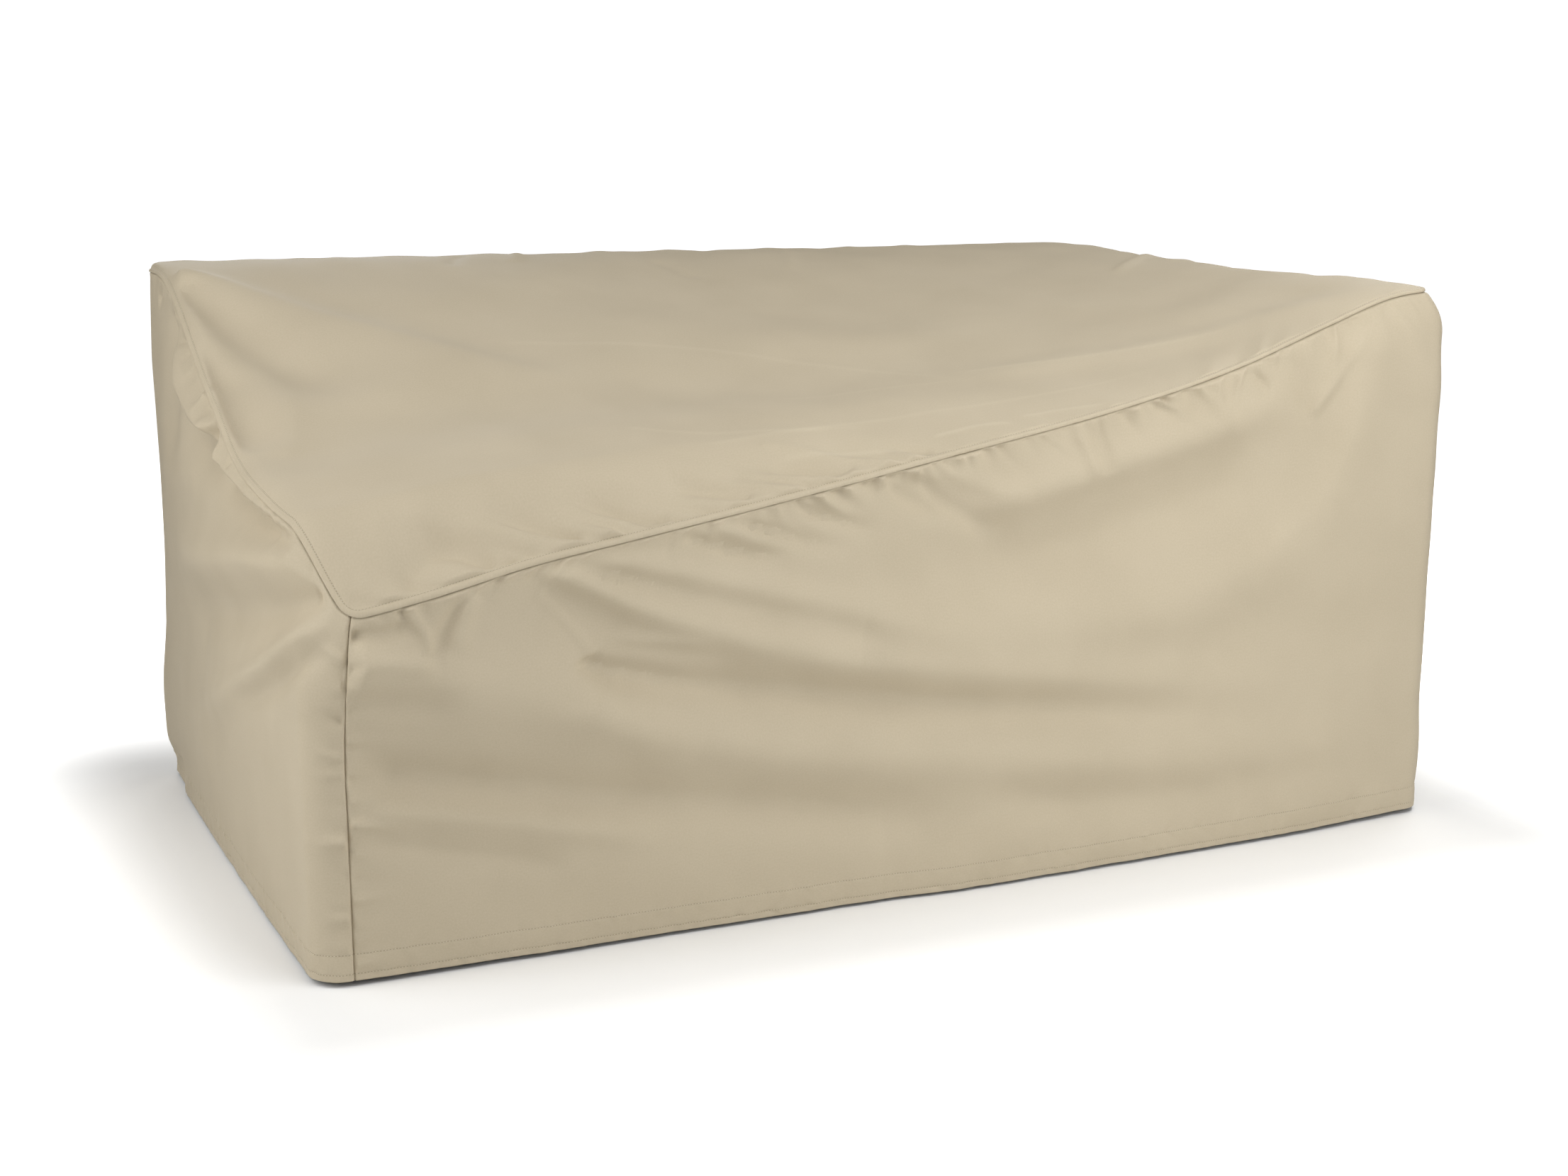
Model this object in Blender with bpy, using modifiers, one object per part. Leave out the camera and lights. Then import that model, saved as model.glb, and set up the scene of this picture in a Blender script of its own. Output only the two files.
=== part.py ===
# Fitted outdoor cover for a long seat with a high back and one high arm.
#
# Five cloth panels hang from the furniture they hide: a sloping top panel with a short turned-down
# rim, and four walls that are sewn under that rim. The cover is hollow and open below.
# While the shapes are worked out, x runs right along the front, y runs back and z runs up from
# the hem. At the end everything moves so that the origin lies under the top, on the back rail.

import math
from collections import namedtuple

import bmesh
import bpy
import numpy as np

# Driving dimensions, in metres.
WIDTH = 1.783
DEPTH = 1.080
CLOTH = 0.002          # thickness of every panel
GAP = 0.0003           # clearance between neighbouring panels along a seam
SKIRT = 0.004          # upright rim of the top panel above its seam
BEND = 0.009           # radius at which the top panel turns down into that rim
TIP_RADIUS = 0.020     # plan radius of the top panel's low near left corner
TOP_RADIUS = 0.036     # plan radius of its three high corners
HEM_RADIUS = 0.042     # plan radius of the walls' corners at the hem
RAIL_INSET = 0.090     # how far the back rail's centre lies in from the back face
REST_GAP = 0.002       # cloth clearance over the rail that carries it

Level = namedtuple("Level", "along height")
Fold = namedtuple("Fold", "start middle end width rise")
Edge = namedtuple("Edge", "inset drop")

# Height of the top seam along each side, measured from the hem.
FRONT_SEAM = [Level(0.00, 0.462), Level(0.07, 0.467), Level(0.16, 0.483), Level(0.29, 0.513),
              Level(0.44, 0.538), Level(0.60, 0.564), Level(0.90, 0.617), Level(1.20, 0.673),
              Level(1.40, 0.722), Level(1.56, 0.774), Level(1.68, 0.811), Level(1.79, 0.820)]
LEFT_SEAM = [Level(0.00, 0.560), Level(0.14, 0.579), Level(0.24, 0.600), Level(0.34, 0.615),
             Level(0.40, 0.632), Level(0.48, 0.668), Level(0.60, 0.715), Level(0.70, 0.756),
             Level(0.80, 0.797), Level(0.92, 0.832), Level(1.08, 0.837)]
RIGHT_SEAM = [Level(0.00, 0.820), Level(0.12, 0.821), Level(0.56, 0.824), Level(0.74, 0.829),
              Level(0.90, 0.835), Level(1.08, 0.837)]
BACK_SEAM = [Level(0.00, 0.837), Level(0.90, 0.839), Level(1.79, 0.837)]

# The seat cushion's front roll: how far the seam lies below the cushion's crown.
ROLL = [Level(0.00, 0.089), Level(0.20, 0.083), Level(0.50, 0.058), Level(0.90, 0.018),
        Level(1.10, 0.0), Level(1.79, 0.0)]
ROLL_DEPTH = 0.150     # how far back the roll reaches

# Where the walls lean in to meet the seam, and the height over which they do.
FRONT_EDGE = Edge(0.018, 0.060)
RIGHT_EDGE = Edge(0.048, 0.070)
BACK_EDGE = Edge(0.015, 0.045)
LEFT_EDGE = Edge(0.008, 0.400)
TIP_EDGE = Edge(0.060, 0.170)
TIP_REACH = 0.300      # the left seam runs back over this length before it lies flush
BACK_REACH = 0.500     # and over this length it draws in again towards its back corner,
BACK_LEAD = 0.1        # which it reaches this far before the corner itself
ARM_ROUND = (1.25, 1.65)     # where the front seam starts to lie in round the arm, and is fully in
TIP_BACK = (0.05, 0.40)      # the tip's lean is full up to the first distance and gone at the
TIP_RIGHT = (0.10, 0.45)     # second: along the left seam, and along the front seam

# Bulges of the walls and of the hem, and the hem's sag, at the middle of a side.
WALL_BULGE = 0.007
WALL_HELD = 0.09       # the walls are held flat at the seam, and are free this far below it
LONG_HEM_BULGE = 0.009
SHORT_HEM_BULGE = 0.003
HEM_SAG = 0.003

# Main folds. Ridges rise outwards, valleys have a negative rise. Places on the top are (x, y),
# on the front wall (x, z) and on the left wall (y, z).
TOP_FOLDS = [
    Fold((0.03, 0.93), (0.27, 0.69), (0.56, 0.46), 0.050, 0.010),
    Fold((0.05, 0.86), (0.10, 0.66), (0.17, 0.46), 0.045, -0.012),
    Fold((0.00, 0.36), (0.03, 0.45), (0.02, 0.58), 0.040, -0.012),
    Fold((0.20, 0.62), (0.55, 0.38), (1.00, 0.30), 0.120, -0.012),
    Fold((0.55, 0.62), (0.95, 0.50), (1.35, 0.30), 0.090, 0.006),
    Fold((0.70, 0.95), (0.95, 0.72), (1.30, 0.60), 0.140, -0.010),
    Fold((1.25, 0.90), (1.45, 0.55), (1.50, 0.25), 0.120, -0.012),
    Fold((0.62, 0.20), (0.95, 0.16), (1.35, 0.11), 0.050, 0.004),
]
FRONT_FOLDS = [
    Fold((0.30, 0.50), (0.62, 0.41), (1.10, 0.33), 0.040, 0.009),
    Fold((0.34, 0.44), (0.66, 0.31), (1.25, 0.21), 0.050, -0.009),
    Fold((0.36, 0.40), (0.60, 0.29), (1.10, 0.24), 0.045, 0.004),
    Fold((0.06, 0.25), (0.50, 0.17), (1.40, 0.07), 0.055, -0.008),
    Fold((0.10, 0.40), (0.45, 0.29), (0.85, 0.21), 0.070, 0.007),
    Fold((0.70, 0.20), (1.20, 0.17), (1.65, 0.15), 0.050, 0.006),
    Fold((0.95, 0.46), (1.20, 0.50), (1.46, 0.58), 0.050, -0.010),
    Fold((1.02, 0.54), (1.25, 0.59), (1.48, 0.66), 0.040, 0.008),
    Fold((1.60, 0.74), (1.52, 0.52), (1.30, 0.34), 0.070, 0.009),
    Fold((0.55, 0.50), (0.75, 0.46), (1.00, 0.45), 0.040, -0.005),
    Fold((0.09, 0.44), (0.13, 0.40), (0.16, 0.34), 0.035, -0.007),
]
LEFT_FOLDS = [
    Fold((0.04, 0.54), (0.30, 0.565), (0.55, 0.59), 0.035, -0.010),
    Fold((0.20, 0.54), (0.50, 0.52), (0.85, 0.49), 0.035, 0.008),
    Fold((0.05, 0.49), (0.40, 0.43), (0.95, 0.41), 0.040, -0.009),
    Fold((0.10, 0.46), (0.45, 0.33), (0.90, 0.24), 0.050, 0.007),
    Fold((0.55, 0.65), (0.75, 0.66), (0.92, 0.62), 0.045, -0.010),
    Fold((0.60, 0.70), (0.75, 0.74), (0.85, 0.78), 0.040, 0.008),
    Fold((0.70, 0.16), (0.90, 0.14), (1.05, 0.12), 0.050, 0.007),
]
BACK_FOLDS = [
    Fold((0.20, 0.70), (0.60, 0.48), (1.10, 0.42), 0.070, -0.009),
    Fold((0.25, 0.55), (0.70, 0.36), (1.30, 0.30), 0.060, 0.008),
    Fold((1.60, 0.68), (1.40, 0.45), (1.05, 0.30), 0.070, -0.008),
    Fold((0.30, 0.22), (0.90, 0.16), (1.50, 0.20), 0.070, 0.007),
]
RIGHT_FOLDS = [
    Fold((0.15, 0.66), (0.45, 0.50), (0.85, 0.46), 0.060, -0.008),
    Fold((0.20, 0.46), (0.50, 0.36), (0.90, 0.34), 0.060, 0.008),
    Fold((0.20, 0.22), (0.55, 0.16), (0.90, 0.22), 0.060, 0.006),
]
FOLD_STEPS = 10        # straight pieces that stand for each fold's curved line
FADE_IN = 0.2          # each fold rises over this share of its line and dies away over the other,
FADE_OUT = 0.3         # both a little beyond its ends
FADE_BEYOND = 0.04
TOP_CLEAR = (0.01, 0.07)     # the top's folds start and are full this far inside its outline

# Grid lines. The rim lines are counted 0 at the seam, 1 at the top of the skirt, 2 where the bend
# ends; between them the lines are spaced by plan distance.
RIM_LINES = [0.0, 1.0, 1.5, 2.0]
FIRST_LINES = [0.026, 0.042, 0.062, 0.090]
LONG_CELLS = 30
SHORT_CELLS = 17
WALL_ROWS = [0.0, 0.045, 0.12, 0.20, 0.28, 0.36, 0.44, 0.52, 0.60, 0.68, 0.76, 0.84, 0.90, 0.94,
             0.975, 1.0]

# Near the tip the hem's lines are spaced from the upright seam, and run even again further on.
TIP_SEAM_LEAD = 0.006        # the seam's place right of the hem's round corner
HEM_EVEN_RIGHT = 0.45
HEM_EVEN_BACK = 0.4

# Upright seams, as the number of grid lines past a corner of the top.
RIGHT_SEAM_LINE = 8
RIGHT_BACK_SEAM_LINE = 8
LEFT_BACK_SEAM_LINE = 8

# Finish: one solution-dyed, coated woven polyester, a shade apart from panel to panel.
CLOTH_COLOUR = (0.47, 0.40, 0.29, 1.0)
CLOTH_ROUGHNESS = 0.75


def smooth(start, end, value):
    """An S-shaped step from 0 at start to 1 at end."""
    q = np.clip((value - start) / (end - start), 0.0, 1.0)
    return q * q * (3.0 - 2.0 * q)


def through(levels, along):
    """Heights read from a smooth cubic curve through the rows of a table."""
    table = np.array(levels, float)
    places = table[:, 0]
    heights = table[:, 1]
    slopes = np.gradient(heights, places)
    along = np.clip(along, places[0], places[-1])
    i = np.clip(np.searchsorted(places, along, "right") - 1, 0, len(places) - 2)
    step = places[i + 1] - places[i]
    q = (along - places[i]) / step
    return ((2 * q**3 - 3 * q**2 + 1) * heights[i] + (q**3 - 2 * q**2 + q) * step * slopes[i]
            + (3 * q**2 - 2 * q**3) * heights[i + 1] + (q**3 - q**2) * step * slopes[i + 1])


def folded(folds, a, b):
    """Sum of soft ridges and valleys: a bell across each fold's line that fades at its ends."""
    total = np.zeros_like(a)
    q = np.linspace(0.0, 1.0, FOLD_STEPS + 1)
    for fold in folds:
        start, middle, end = (np.array(p) for p in (fold.start, fold.middle, fold.end))
        bow = 2.0 * middle - 0.5 * (start + end)
        line = (np.outer((1 - q)**2, start) + np.outer(2 * q * (1 - q), bow) + np.outer(q**2, end))
        nearest = np.full(a.shape, np.inf)
        place = np.zeros_like(a)
        for n in range(FOLD_STEPS):
            dx, dy = line[n + 1] - line[n]
            t = np.clip(((a - line[n, 0]) * dx + (b - line[n, 1]) * dy) / (dx * dx + dy * dy), 0, 1)
            apart = np.hypot(a - line[n, 0] - t * dx, b - line[n, 1] - t * dy)
            closer = apart < nearest
            place = np.where(closer, (n + t) / FOLD_STEPS, place)
            nearest = np.minimum(nearest, apart)
        fade = (smooth(0.0, FADE_IN, place + FADE_BEYOND)
                * smooth(0.0, FADE_OUT, 1.0 + FADE_BEYOND - place))
        total += fold.rise * fade * np.exp(-(nearest / fold.width)**2)
    return total


def left_inset(y):
    """The left seam lies well in from the left end at the tip: a parabola that ends at TIP_REACH."""
    at_tip = TIP_EDGE.inset * np.clip(1.0 - y / TIP_REACH, 0.0, 1.0)**2
    return at_tip + LEFT_EDGE.inset * smooth(DEPTH - BACK_REACH, DEPTH, y + BACK_LEAD)


def front_inset(x):
    """The front seam lies in from the front face only where the arm's front edge is round."""
    return FRONT_EDGE.inset * smooth(*ARM_ROUND, x)


def seam_height(x, y):
    """Heights between the four seam lines: the sum of both ruled surfaces less the corners' plane."""
    u = x / WIDTH
    v = y / DEPTH
    roll = through(ROLL, x)
    front = through(FRONT_SEAM, x) + roll
    left = through(LEFT_SEAM, y)
    right = through(RIGHT_SEAM, y)
    back = through(BACK_SEAM, x)
    corners = ((1 - u) * (1 - v) * LEFT_SEAM[0].height + u * (1 - v) * FRONT_SEAM[-1].height
               + (1 - u) * v * LEFT_SEAM[-1].height + u * v * BACK_SEAM[-1].height)
    lofted = (1 - u) * left + u * right + (1 - v) * front + v * back - corners
    return lofted - roll * (1.0 - smooth(0.0, ROLL_DEPTH, y))


def inner_lines(length, cells):
    """Plan distances of the grid lines inside the bends: close at the corners, then even."""
    first = [BEND] + FIRST_LINES
    return first[:-1] + list(np.linspace(first[-1], length - first[-1], cells + 1)) + [
        length - d for d in reversed(first[:-1])]


def side_lines(length, cells):
    """For each grid line its rim count from the nearer side and its plan distance from the start."""
    lines = inner_lines(length, cells)
    rim = RIM_LINES[:-1] + [2.0] * len(lines) + RIM_LINES[-2::-1]
    reach = [rim_length(m) / rim_length(2.0) * BEND for m in RIM_LINES[:-1]]
    places = reach + lines + [length - d for d in reversed(reach)]
    return np.array(rim), np.array(places)


def rim_length(m):
    """Length of cloth from the seam up to rim count m."""
    return SKIRT * min(m, 1.0) + BEND * math.pi / 2 * max(m - 1.0, 0.0)


def top_grid():
    """Plan places and heights of the top panel's grid: rounded rings, a bend, and a skirt."""
    rim_x, place_x = side_lines(WIDTH, LONG_CELLS)
    rim_y, place_y = side_lines(DEPTH, SHORT_CELLS)
    m = np.minimum(*np.meshgrid(rim_x, rim_y, indexing="ij"))
    px, py = np.meshgrid(place_x, place_y, indexing="ij")
    from_x = np.minimum(px, WIDTH - px)
    from_y = np.minimum(py, DEPTH - py)
    near = np.minimum(from_x, from_y)
    far = np.maximum(from_x, from_y)

    # The bend: a quarter circle from the upright skirt to the flat top.
    turn = np.clip(m - 1.0, 0.0, 1.0) * math.pi / 2
    inset = np.where(m < 2.0, BEND * (1.0 - np.cos(turn)), near)
    drop = SKIRT * (1.0 - np.clip(m, 0.0, 1.0)) + BEND * (1.0 - np.sin(turn))

    x, y = rounded(px, py, from_x, from_y, near, far, inset,
                   np.where((px < WIDTH / 2) & (py < DEPTH / 2), TIP_RADIUS, TOP_RADIUS))

    # Draw the outline in to where the seams lie.
    x = pulled_in(x, WIDTH, left_inset(y), RIGHT_EDGE.inset)
    y = pulled_in(y, DEPTH, front_inset(x), BACK_EDGE.inset)
    z = seam_height(x, y) + SKIRT + BEND - drop
    z = z + smooth(*TOP_CLEAR, near) * folded(TOP_FOLDS, x, y)
    return x, y, z


def pulled_in(place, length, low_inset, high_inset):
    """Squeeze a span so that its ends move in by their insets."""
    return low_inset + place * (length - low_inset - high_inset) / length


def rounded(px, py, from_x, from_y, near, far, inset, radius):
    """Turn square rings into rings with round corners: each corner's half becomes an eighth turn."""
    ring = np.maximum(radius - inset, 1e-6)
    share = np.clip((far - near) / np.maximum(radius - near, 1e-6), 0.0, 1.0)
    turn = math.pi / 4 * (1.0 - share)
    at_corner = far < radius
    along = np.where(at_corner, inset + ring * (1.0 - np.sin(turn)), far)
    across = np.where(at_corner, inset + ring * (1.0 - np.cos(turn)), inset)
    in_x = np.where(from_x <= from_y, across, along)
    in_y = np.where(from_x <= from_y, along, across)
    x = np.where(px < WIDTH / 2, in_x, WIDTH - in_x)
    y = np.where(py < DEPTH / 2, in_y, DEPTH - in_y)
    return x, y


def ring_of(grid):
    """The outer loop of a grid, from its first corner to the right along the front."""
    return np.concatenate([grid[:, 0], grid[-1, 1:], grid[-2::-1, -1], grid[0, -2:0:-1]])


def hem_ring():
    """The hem's outline for the same loop: the wall's full size, with the tip's seam drawn over."""
    _, place_x = side_lines(WIDTH, LONG_CELLS)
    _, place_y = side_lines(DEPTH, SHORT_CELLS)
    px, py = np.meshgrid(place_x, place_y, indexing="ij")
    from_x = np.minimum(px, WIDTH - px)
    from_y = np.minimum(py, DEPTH - py)
    none = np.zeros_like(px)
    far = np.maximum(from_x, from_y)
    x, y = rounded(px, py, from_x, from_y, none, far, none, HEM_RADIUS)
    x = ring_of(x)
    y = ring_of(y)

    # Near the tip the lines are spaced from the upright seam, which stands just right of the corner.
    count = len(place_x)
    seam_x = HEM_RADIUS + TIP_SEAM_LEAD
    front = np.arange(count)
    held = 1.0 - smooth(0.0, HEM_EVEN_RIGHT, place_x)
    x[front] = np.where(place_x < WIDTH / 2, place_x + seam_x * held, x[front])
    y[front] = np.where(place_x < WIDTH / 2, 0.0, y[front])
    left = np.arange(len(x) - 1, len(x) - len(place_y) + 1, -1)
    run = place_y[1:-1]
    arc = HEM_RADIUS * math.pi / 2
    lead = seam_x - HEM_RADIUS
    course = run + (lead + arc - HEM_RADIUS) * smooth(0.0, HEM_EVEN_BACK, run)
    turn = np.clip((course - lead) / HEM_RADIUS, 0.0, math.pi / 2)
    round_x = np.where(course < lead, seam_x - course, HEM_RADIUS * (1.0 - np.sin(turn)))
    round_y = HEM_RADIUS * (1.0 - np.cos(turn)) + np.maximum(course - lead - arc, 0.0)
    nearer = run < DEPTH / 2
    x[left] = np.where(nearer, round_x, x[left])
    y[left] = np.where(nearer, round_y, y[left])
    return x, y


def wall_surface(columns, seam_ring, hem_x, hem_y):
    """A wall's grid: columns down from the seam, leaning in at the top, with its folds."""
    top_x, top_y, top_z = (ring[columns][:, None] for ring in seam_ring)
    low_x = hem_x[columns][:, None]
    low_y = hem_y[columns][:, None]
    share = np.array(WALL_ROWS)[None, :]

    # Outward direction at the hem, from the rounded rectangle's own centre lines.
    side_x = low_x - np.clip(low_x, HEM_RADIUS, WIDTH - HEM_RADIUS)
    side_y = low_y - np.clip(low_y, HEM_RADIUS, DEPTH - HEM_RADIUS)
    size = np.hypot(side_x, side_y)
    out_x = side_x / size
    out_y = side_y / size

    # How much of each wall a column belongs to, and how near it is to that wall's middle.
    front = np.clip(-out_y, 0, 1)**2
    back = np.clip(out_y, 0, 1)**2
    left = np.clip(-out_x, 0, 1)**2
    right = np.clip(out_x, 0, 1)**2
    middle = ((front + back) * np.sin(math.pi * np.clip(low_x / WIDTH, 0, 1))
              + (left + right) * np.sin(math.pi * np.clip(low_y / DEPTH, 0, 1)))

    bottom = -HEM_SAG * middle
    z = bottom + share * (top_z - GAP - bottom)

    tip = (1.0 - smooth(*TIP_BACK, top_y)) * (1.0 - smooth(*TIP_RIGHT, top_x))
    drop = (FRONT_EDGE.drop * front + RIGHT_EDGE.drop * right + BACK_EDGE.drop * back
            + LEFT_EDGE.drop * left) * (1.0 - tip) + TIP_EDGE.drop * tip
    lean = np.clip(1.0 - (top_z - z) / drop, 0.0, 1.0)**2
    x = low_x + (top_x - low_x) * lean
    y = low_y + (top_y - low_y) * lean

    hem_bulge = LONG_HEM_BULGE * (front + back) + SHORT_HEM_BULGE * (left + right)
    swell = (hem_bulge * (1.0 - share) + WALL_BULGE * np.sin(math.pi * share)) * middle
    deep = (front * folded(FRONT_FOLDS, x, z) + back * folded(BACK_FOLDS, x, z)
            + left * folded(LEFT_FOLDS, y, z) + right * folded(RIGHT_FOLDS, y, z))
    held = smooth(0.0, WALL_HELD, top_z - z)
    out = (swell + deep) * held
    return x + out * out_x, y + out * out_y, z


def sheet(name, x, y, z, shade, collection):
    """One panel: a grid moved to its places, thickened inwards by a Solidify modifier."""
    columns, rows = x.shape
    mesh = bpy.data.meshes.new(name)
    cloth = bmesh.new()
    bmesh.ops.create_grid(cloth, x_segments=columns - 1, y_segments=rows - 1, size=0.5)
    cloth.verts.ensure_lookup_table()
    for vertex in cloth.verts:
        i = round((vertex.co.x + 0.5) * (columns - 1))
        j = round((vertex.co.y + 0.5) * (rows - 1))
        vertex.co = (x[i, j], y[i, j], z[i, j])
    cloth.to_mesh(mesh)
    cloth.free()
    mesh.shade_smooth()
    piece = bpy.data.objects.new(name, mesh)
    piece.location = -np.array(ORIGIN)
    thick = piece.modifiers.new("Cloth thickness", "SOLIDIFY")
    thick.thickness = CLOTH
    thick.offset = -1.0
    thick.use_even_offset = True
    mesh.materials.append(cloth_material(name, shade))
    collection.objects.link(piece)
    return piece


def cloth_material(name, shade):
    """Coated woven polyester: dull, with a little sheen, a shade apart for each panel."""
    material = bpy.data.materials.new(name + " cloth")
    material.use_nodes = True
    shader = material.node_tree.nodes["Principled BSDF"]
    shader.inputs["Base Color"].default_value = [c * shade for c in CLOTH_COLOUR[:3]] + [1.0]
    shader.inputs["Roughness"].default_value = CLOTH_ROUGHNESS
    shader.inputs["Metallic"].default_value = 0.0
    return material


def panel_columns(count_x, count_y):
    """The stretch of the loop that each wall takes, cut at the four upright seams."""
    loop = 2 * (count_x - 1) + 2 * (count_y - 1)
    right_cut = (count_x - 1) + RIGHT_SEAM_LINE
    back_cut = (count_x - 1) + (count_y - 1) + RIGHT_BACK_SEAM_LINE
    left_cut = 2 * (count_x - 1) + (count_y - 1) - LEFT_BACK_SEAM_LINE
    return {"front_panel": (0, right_cut), "right_panel": (right_cut, back_cut),
            "back_panel": (back_cut, left_cut), "left_panel": (left_cut, loop)}


def part_ends(x, y, z):
    """Draw a wall's two upright edges in by half the gap, so that neighbours stay apart."""
    for end, inner in ((0, 1), (-1, -2)):
        dx = x[inner] - x[end]
        dy = y[inner] - y[end]
        size = np.hypot(dx, dy)
        x[end] += dx / size * GAP
        y[end] += dy / size * GAP


for thing in list(bpy.data.objects):
    bpy.data.objects.remove(thing, do_unlink=True)
cover = bpy.data.collections.new("Outdoor furniture cover")
bpy.context.scene.collection.children.link(cover)

top_x, top_y, top_z = top_grid()
rail = (WIDTH / 2, DEPTH - RAIL_INSET)
rail_top = float(seam_height(np.array(rail[0]), np.array(rail[1]))) + SKIRT + BEND - CLOTH - REST_GAP
ORIGIN = (rail[0], rail[1], rail_top)

sheet("top_panel", top_x, top_y, top_z, 1.0, cover)
seams = [ring_of(grid) for grid in (top_x, top_y, top_z)]
hem = hem_ring()
shades = {"front_panel": 0.97, "right_panel": 0.94, "back_panel": 0.92, "left_panel": 0.95}
for panel, (first, last) in panel_columns(*top_x.shape).items():
    columns = np.arange(first, last + 1) % len(seams[0])
    wall = wall_surface(columns, seams, *hem)
    part_ends(*wall)
    sheet(panel, *wall, shades[panel], cover)
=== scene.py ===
import math
from collections import namedtuple

import bpy
import numpy as np
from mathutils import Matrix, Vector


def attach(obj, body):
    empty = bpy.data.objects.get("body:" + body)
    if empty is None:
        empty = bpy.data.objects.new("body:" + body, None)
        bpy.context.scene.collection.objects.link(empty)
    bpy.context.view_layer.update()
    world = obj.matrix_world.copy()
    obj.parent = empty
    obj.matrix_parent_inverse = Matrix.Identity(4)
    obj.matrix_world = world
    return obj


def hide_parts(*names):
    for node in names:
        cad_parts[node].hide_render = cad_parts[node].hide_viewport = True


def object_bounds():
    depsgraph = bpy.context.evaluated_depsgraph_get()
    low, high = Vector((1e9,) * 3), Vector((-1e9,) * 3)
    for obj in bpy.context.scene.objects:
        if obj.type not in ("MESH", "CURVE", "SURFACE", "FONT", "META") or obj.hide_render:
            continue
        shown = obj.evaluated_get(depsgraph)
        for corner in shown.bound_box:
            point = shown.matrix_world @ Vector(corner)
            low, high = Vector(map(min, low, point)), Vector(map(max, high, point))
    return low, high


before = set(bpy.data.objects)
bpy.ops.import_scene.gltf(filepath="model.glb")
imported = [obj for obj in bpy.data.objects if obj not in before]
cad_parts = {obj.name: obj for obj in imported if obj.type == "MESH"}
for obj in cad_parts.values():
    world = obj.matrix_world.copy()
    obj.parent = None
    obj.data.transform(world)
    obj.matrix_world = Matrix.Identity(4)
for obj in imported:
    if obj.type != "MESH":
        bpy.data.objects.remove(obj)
cadLow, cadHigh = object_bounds()
print("frame loaded, box", tuple(round(v, 3) for v in cadLow), tuple(round(v, 3) for v in cadHigh))

# The cover is worked out with x to the right along the front, y to the back and z up from the
# hem, all in metres, and is moved into the frame at the end.

# A level is a height at a place along an edge. A fold runs from its start over its middle to its
# end; it has its width at the start, its spread at the end and its rise, negative for a hollow, and
# three shares that say how it fades in, how sharp its right side is and how it fades out. An edge's
# seam is inset from its hem, and its wall leans in over the drop below the seam.
level = namedtuple("level", "along height")
fold = namedtuple("fold", "start middle end width spread rise onset under ending", defaults=[0.2, 1.0, 0.3])
edge = namedtuple("edge", "inset drop")

cover = {
    "width": 1.783, "depth": 1.080,
    "skirt": 0.0015, "bend": 0.0030,         # the top panel's turned-down rim
    "crown": 0.0105,                         # how far the cloth climbs again inside the seam
    "crownReach": (0.140, 0.016, 0.034, 0.030),   # over how far: front, back, left, right
    "puffReach": 0.10, "puffClimb": 0.003,   # the puffed corner behind on the left: how far, how fast
    "rollSpan": (-0.030, 0.135),             # the seat cushion's roll, from ahead of the seam to behind it
    "tipRadius": 0.020, "puffRadius": 0.026, "topRadius": 0.036, "hemRadius": 0.042,
    "railInset": 0.090,                      # from the back face to the rail that carries the cover
    "hemSag": 0.003, "longHemBulge": 0.009, "shortHemBulge": 0.003, "wallBulge": 0.007,
    "cloth": 0.0012,                         # thickness that shows at the edges
    "uprightSeam": 0.1434,                   # from each hidden corner to its upright seam
}

frontSeam = [level(0.00, 0.462), level(0.07, 0.467), level(0.16, 0.483), level(0.29, 0.513),
             level(0.44, 0.538), level(0.60, 0.564), level(0.90, 0.617), level(1.20, 0.673),
             level(1.40, 0.722), level(1.56, 0.774), level(1.68, 0.811), level(1.79, 0.820)]
leftSeam = [level(0.00, 0.560), level(0.14, 0.579), level(0.24, 0.600), level(0.34, 0.615),
            level(0.40, 0.632), level(0.48, 0.668), level(0.60, 0.715), level(0.70, 0.756),
            level(0.80, 0.797), level(0.92, 0.832), level(1.08, 0.837)]
rightSeam = [level(0.00, 0.820), level(0.12, 0.821), level(0.56, 0.824), level(0.74, 0.829),
             level(0.90, 0.835), level(1.08, 0.837)]
backSeam = [level(0.00, 0.837), level(0.90, 0.839), level(1.79, 0.837)]
seatRoll = [level(0.00, 0.089), level(0.20, 0.083), level(0.50, 0.058), level(0.90, 0.018),
            level(1.10, 0.0), level(1.79, 0.0)]

frontEdge = edge(0.018, 0.060)
rightEdge = edge(0.048, 0.070)
backEdge = edge(0.015, 0.045)
leftEdge = edge(0.008, 0.400)
tipEdge = edge(0.060, 0.170)

# How the seam's line moves in from the hem's, seen from above.
outline = {
    "tipReach": 0.300,                       # from the near left tip back, where the tip is blunt
    "backReach": 0.500, "backLead": 0.100,   # the left side's slow step in towards the back
    "armFill": 0.020, "armReach": 0.40,      # less inset on the right, where the arm fills it out
    "armRound": (1.25, 1.65),                # where the arm's front edge turns round
}


# An S-shaped step: 3 q squared less 2 q cubed, with q from 0 at start to 1 at end.
def smooth(start, end, value):
    q = np.clip((value - start) / (end - start), 0.0, 1.0)
    return q * q * (3.0 - 2.0 * q)


# A cubic Hermite curve through the rows of a table, with each row's slope taken from its neighbours.
def through(levels, along):
    table = np.array(levels, float)
    places = table[:, 0]
    heights = table[:, 1]
    slopes = np.gradient(heights, places)
    along = np.clip(along, places[0], places[-1])
    i = np.clip(np.searchsorted(places, along, "right") - 1, 0, len(places) - 2)
    step = places[i + 1] - places[i]
    q = (along - places[i]) / step
    return ((2 * q**3 - 3 * q**2 + 1) * heights[i] + (q**3 - 2 * q**2 + q) * step * slopes[i]
            + (3 * q**2 - 2 * q**3) * heights[i + 1] + (q**3 - q**2) * step * slopes[i + 1])


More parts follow.
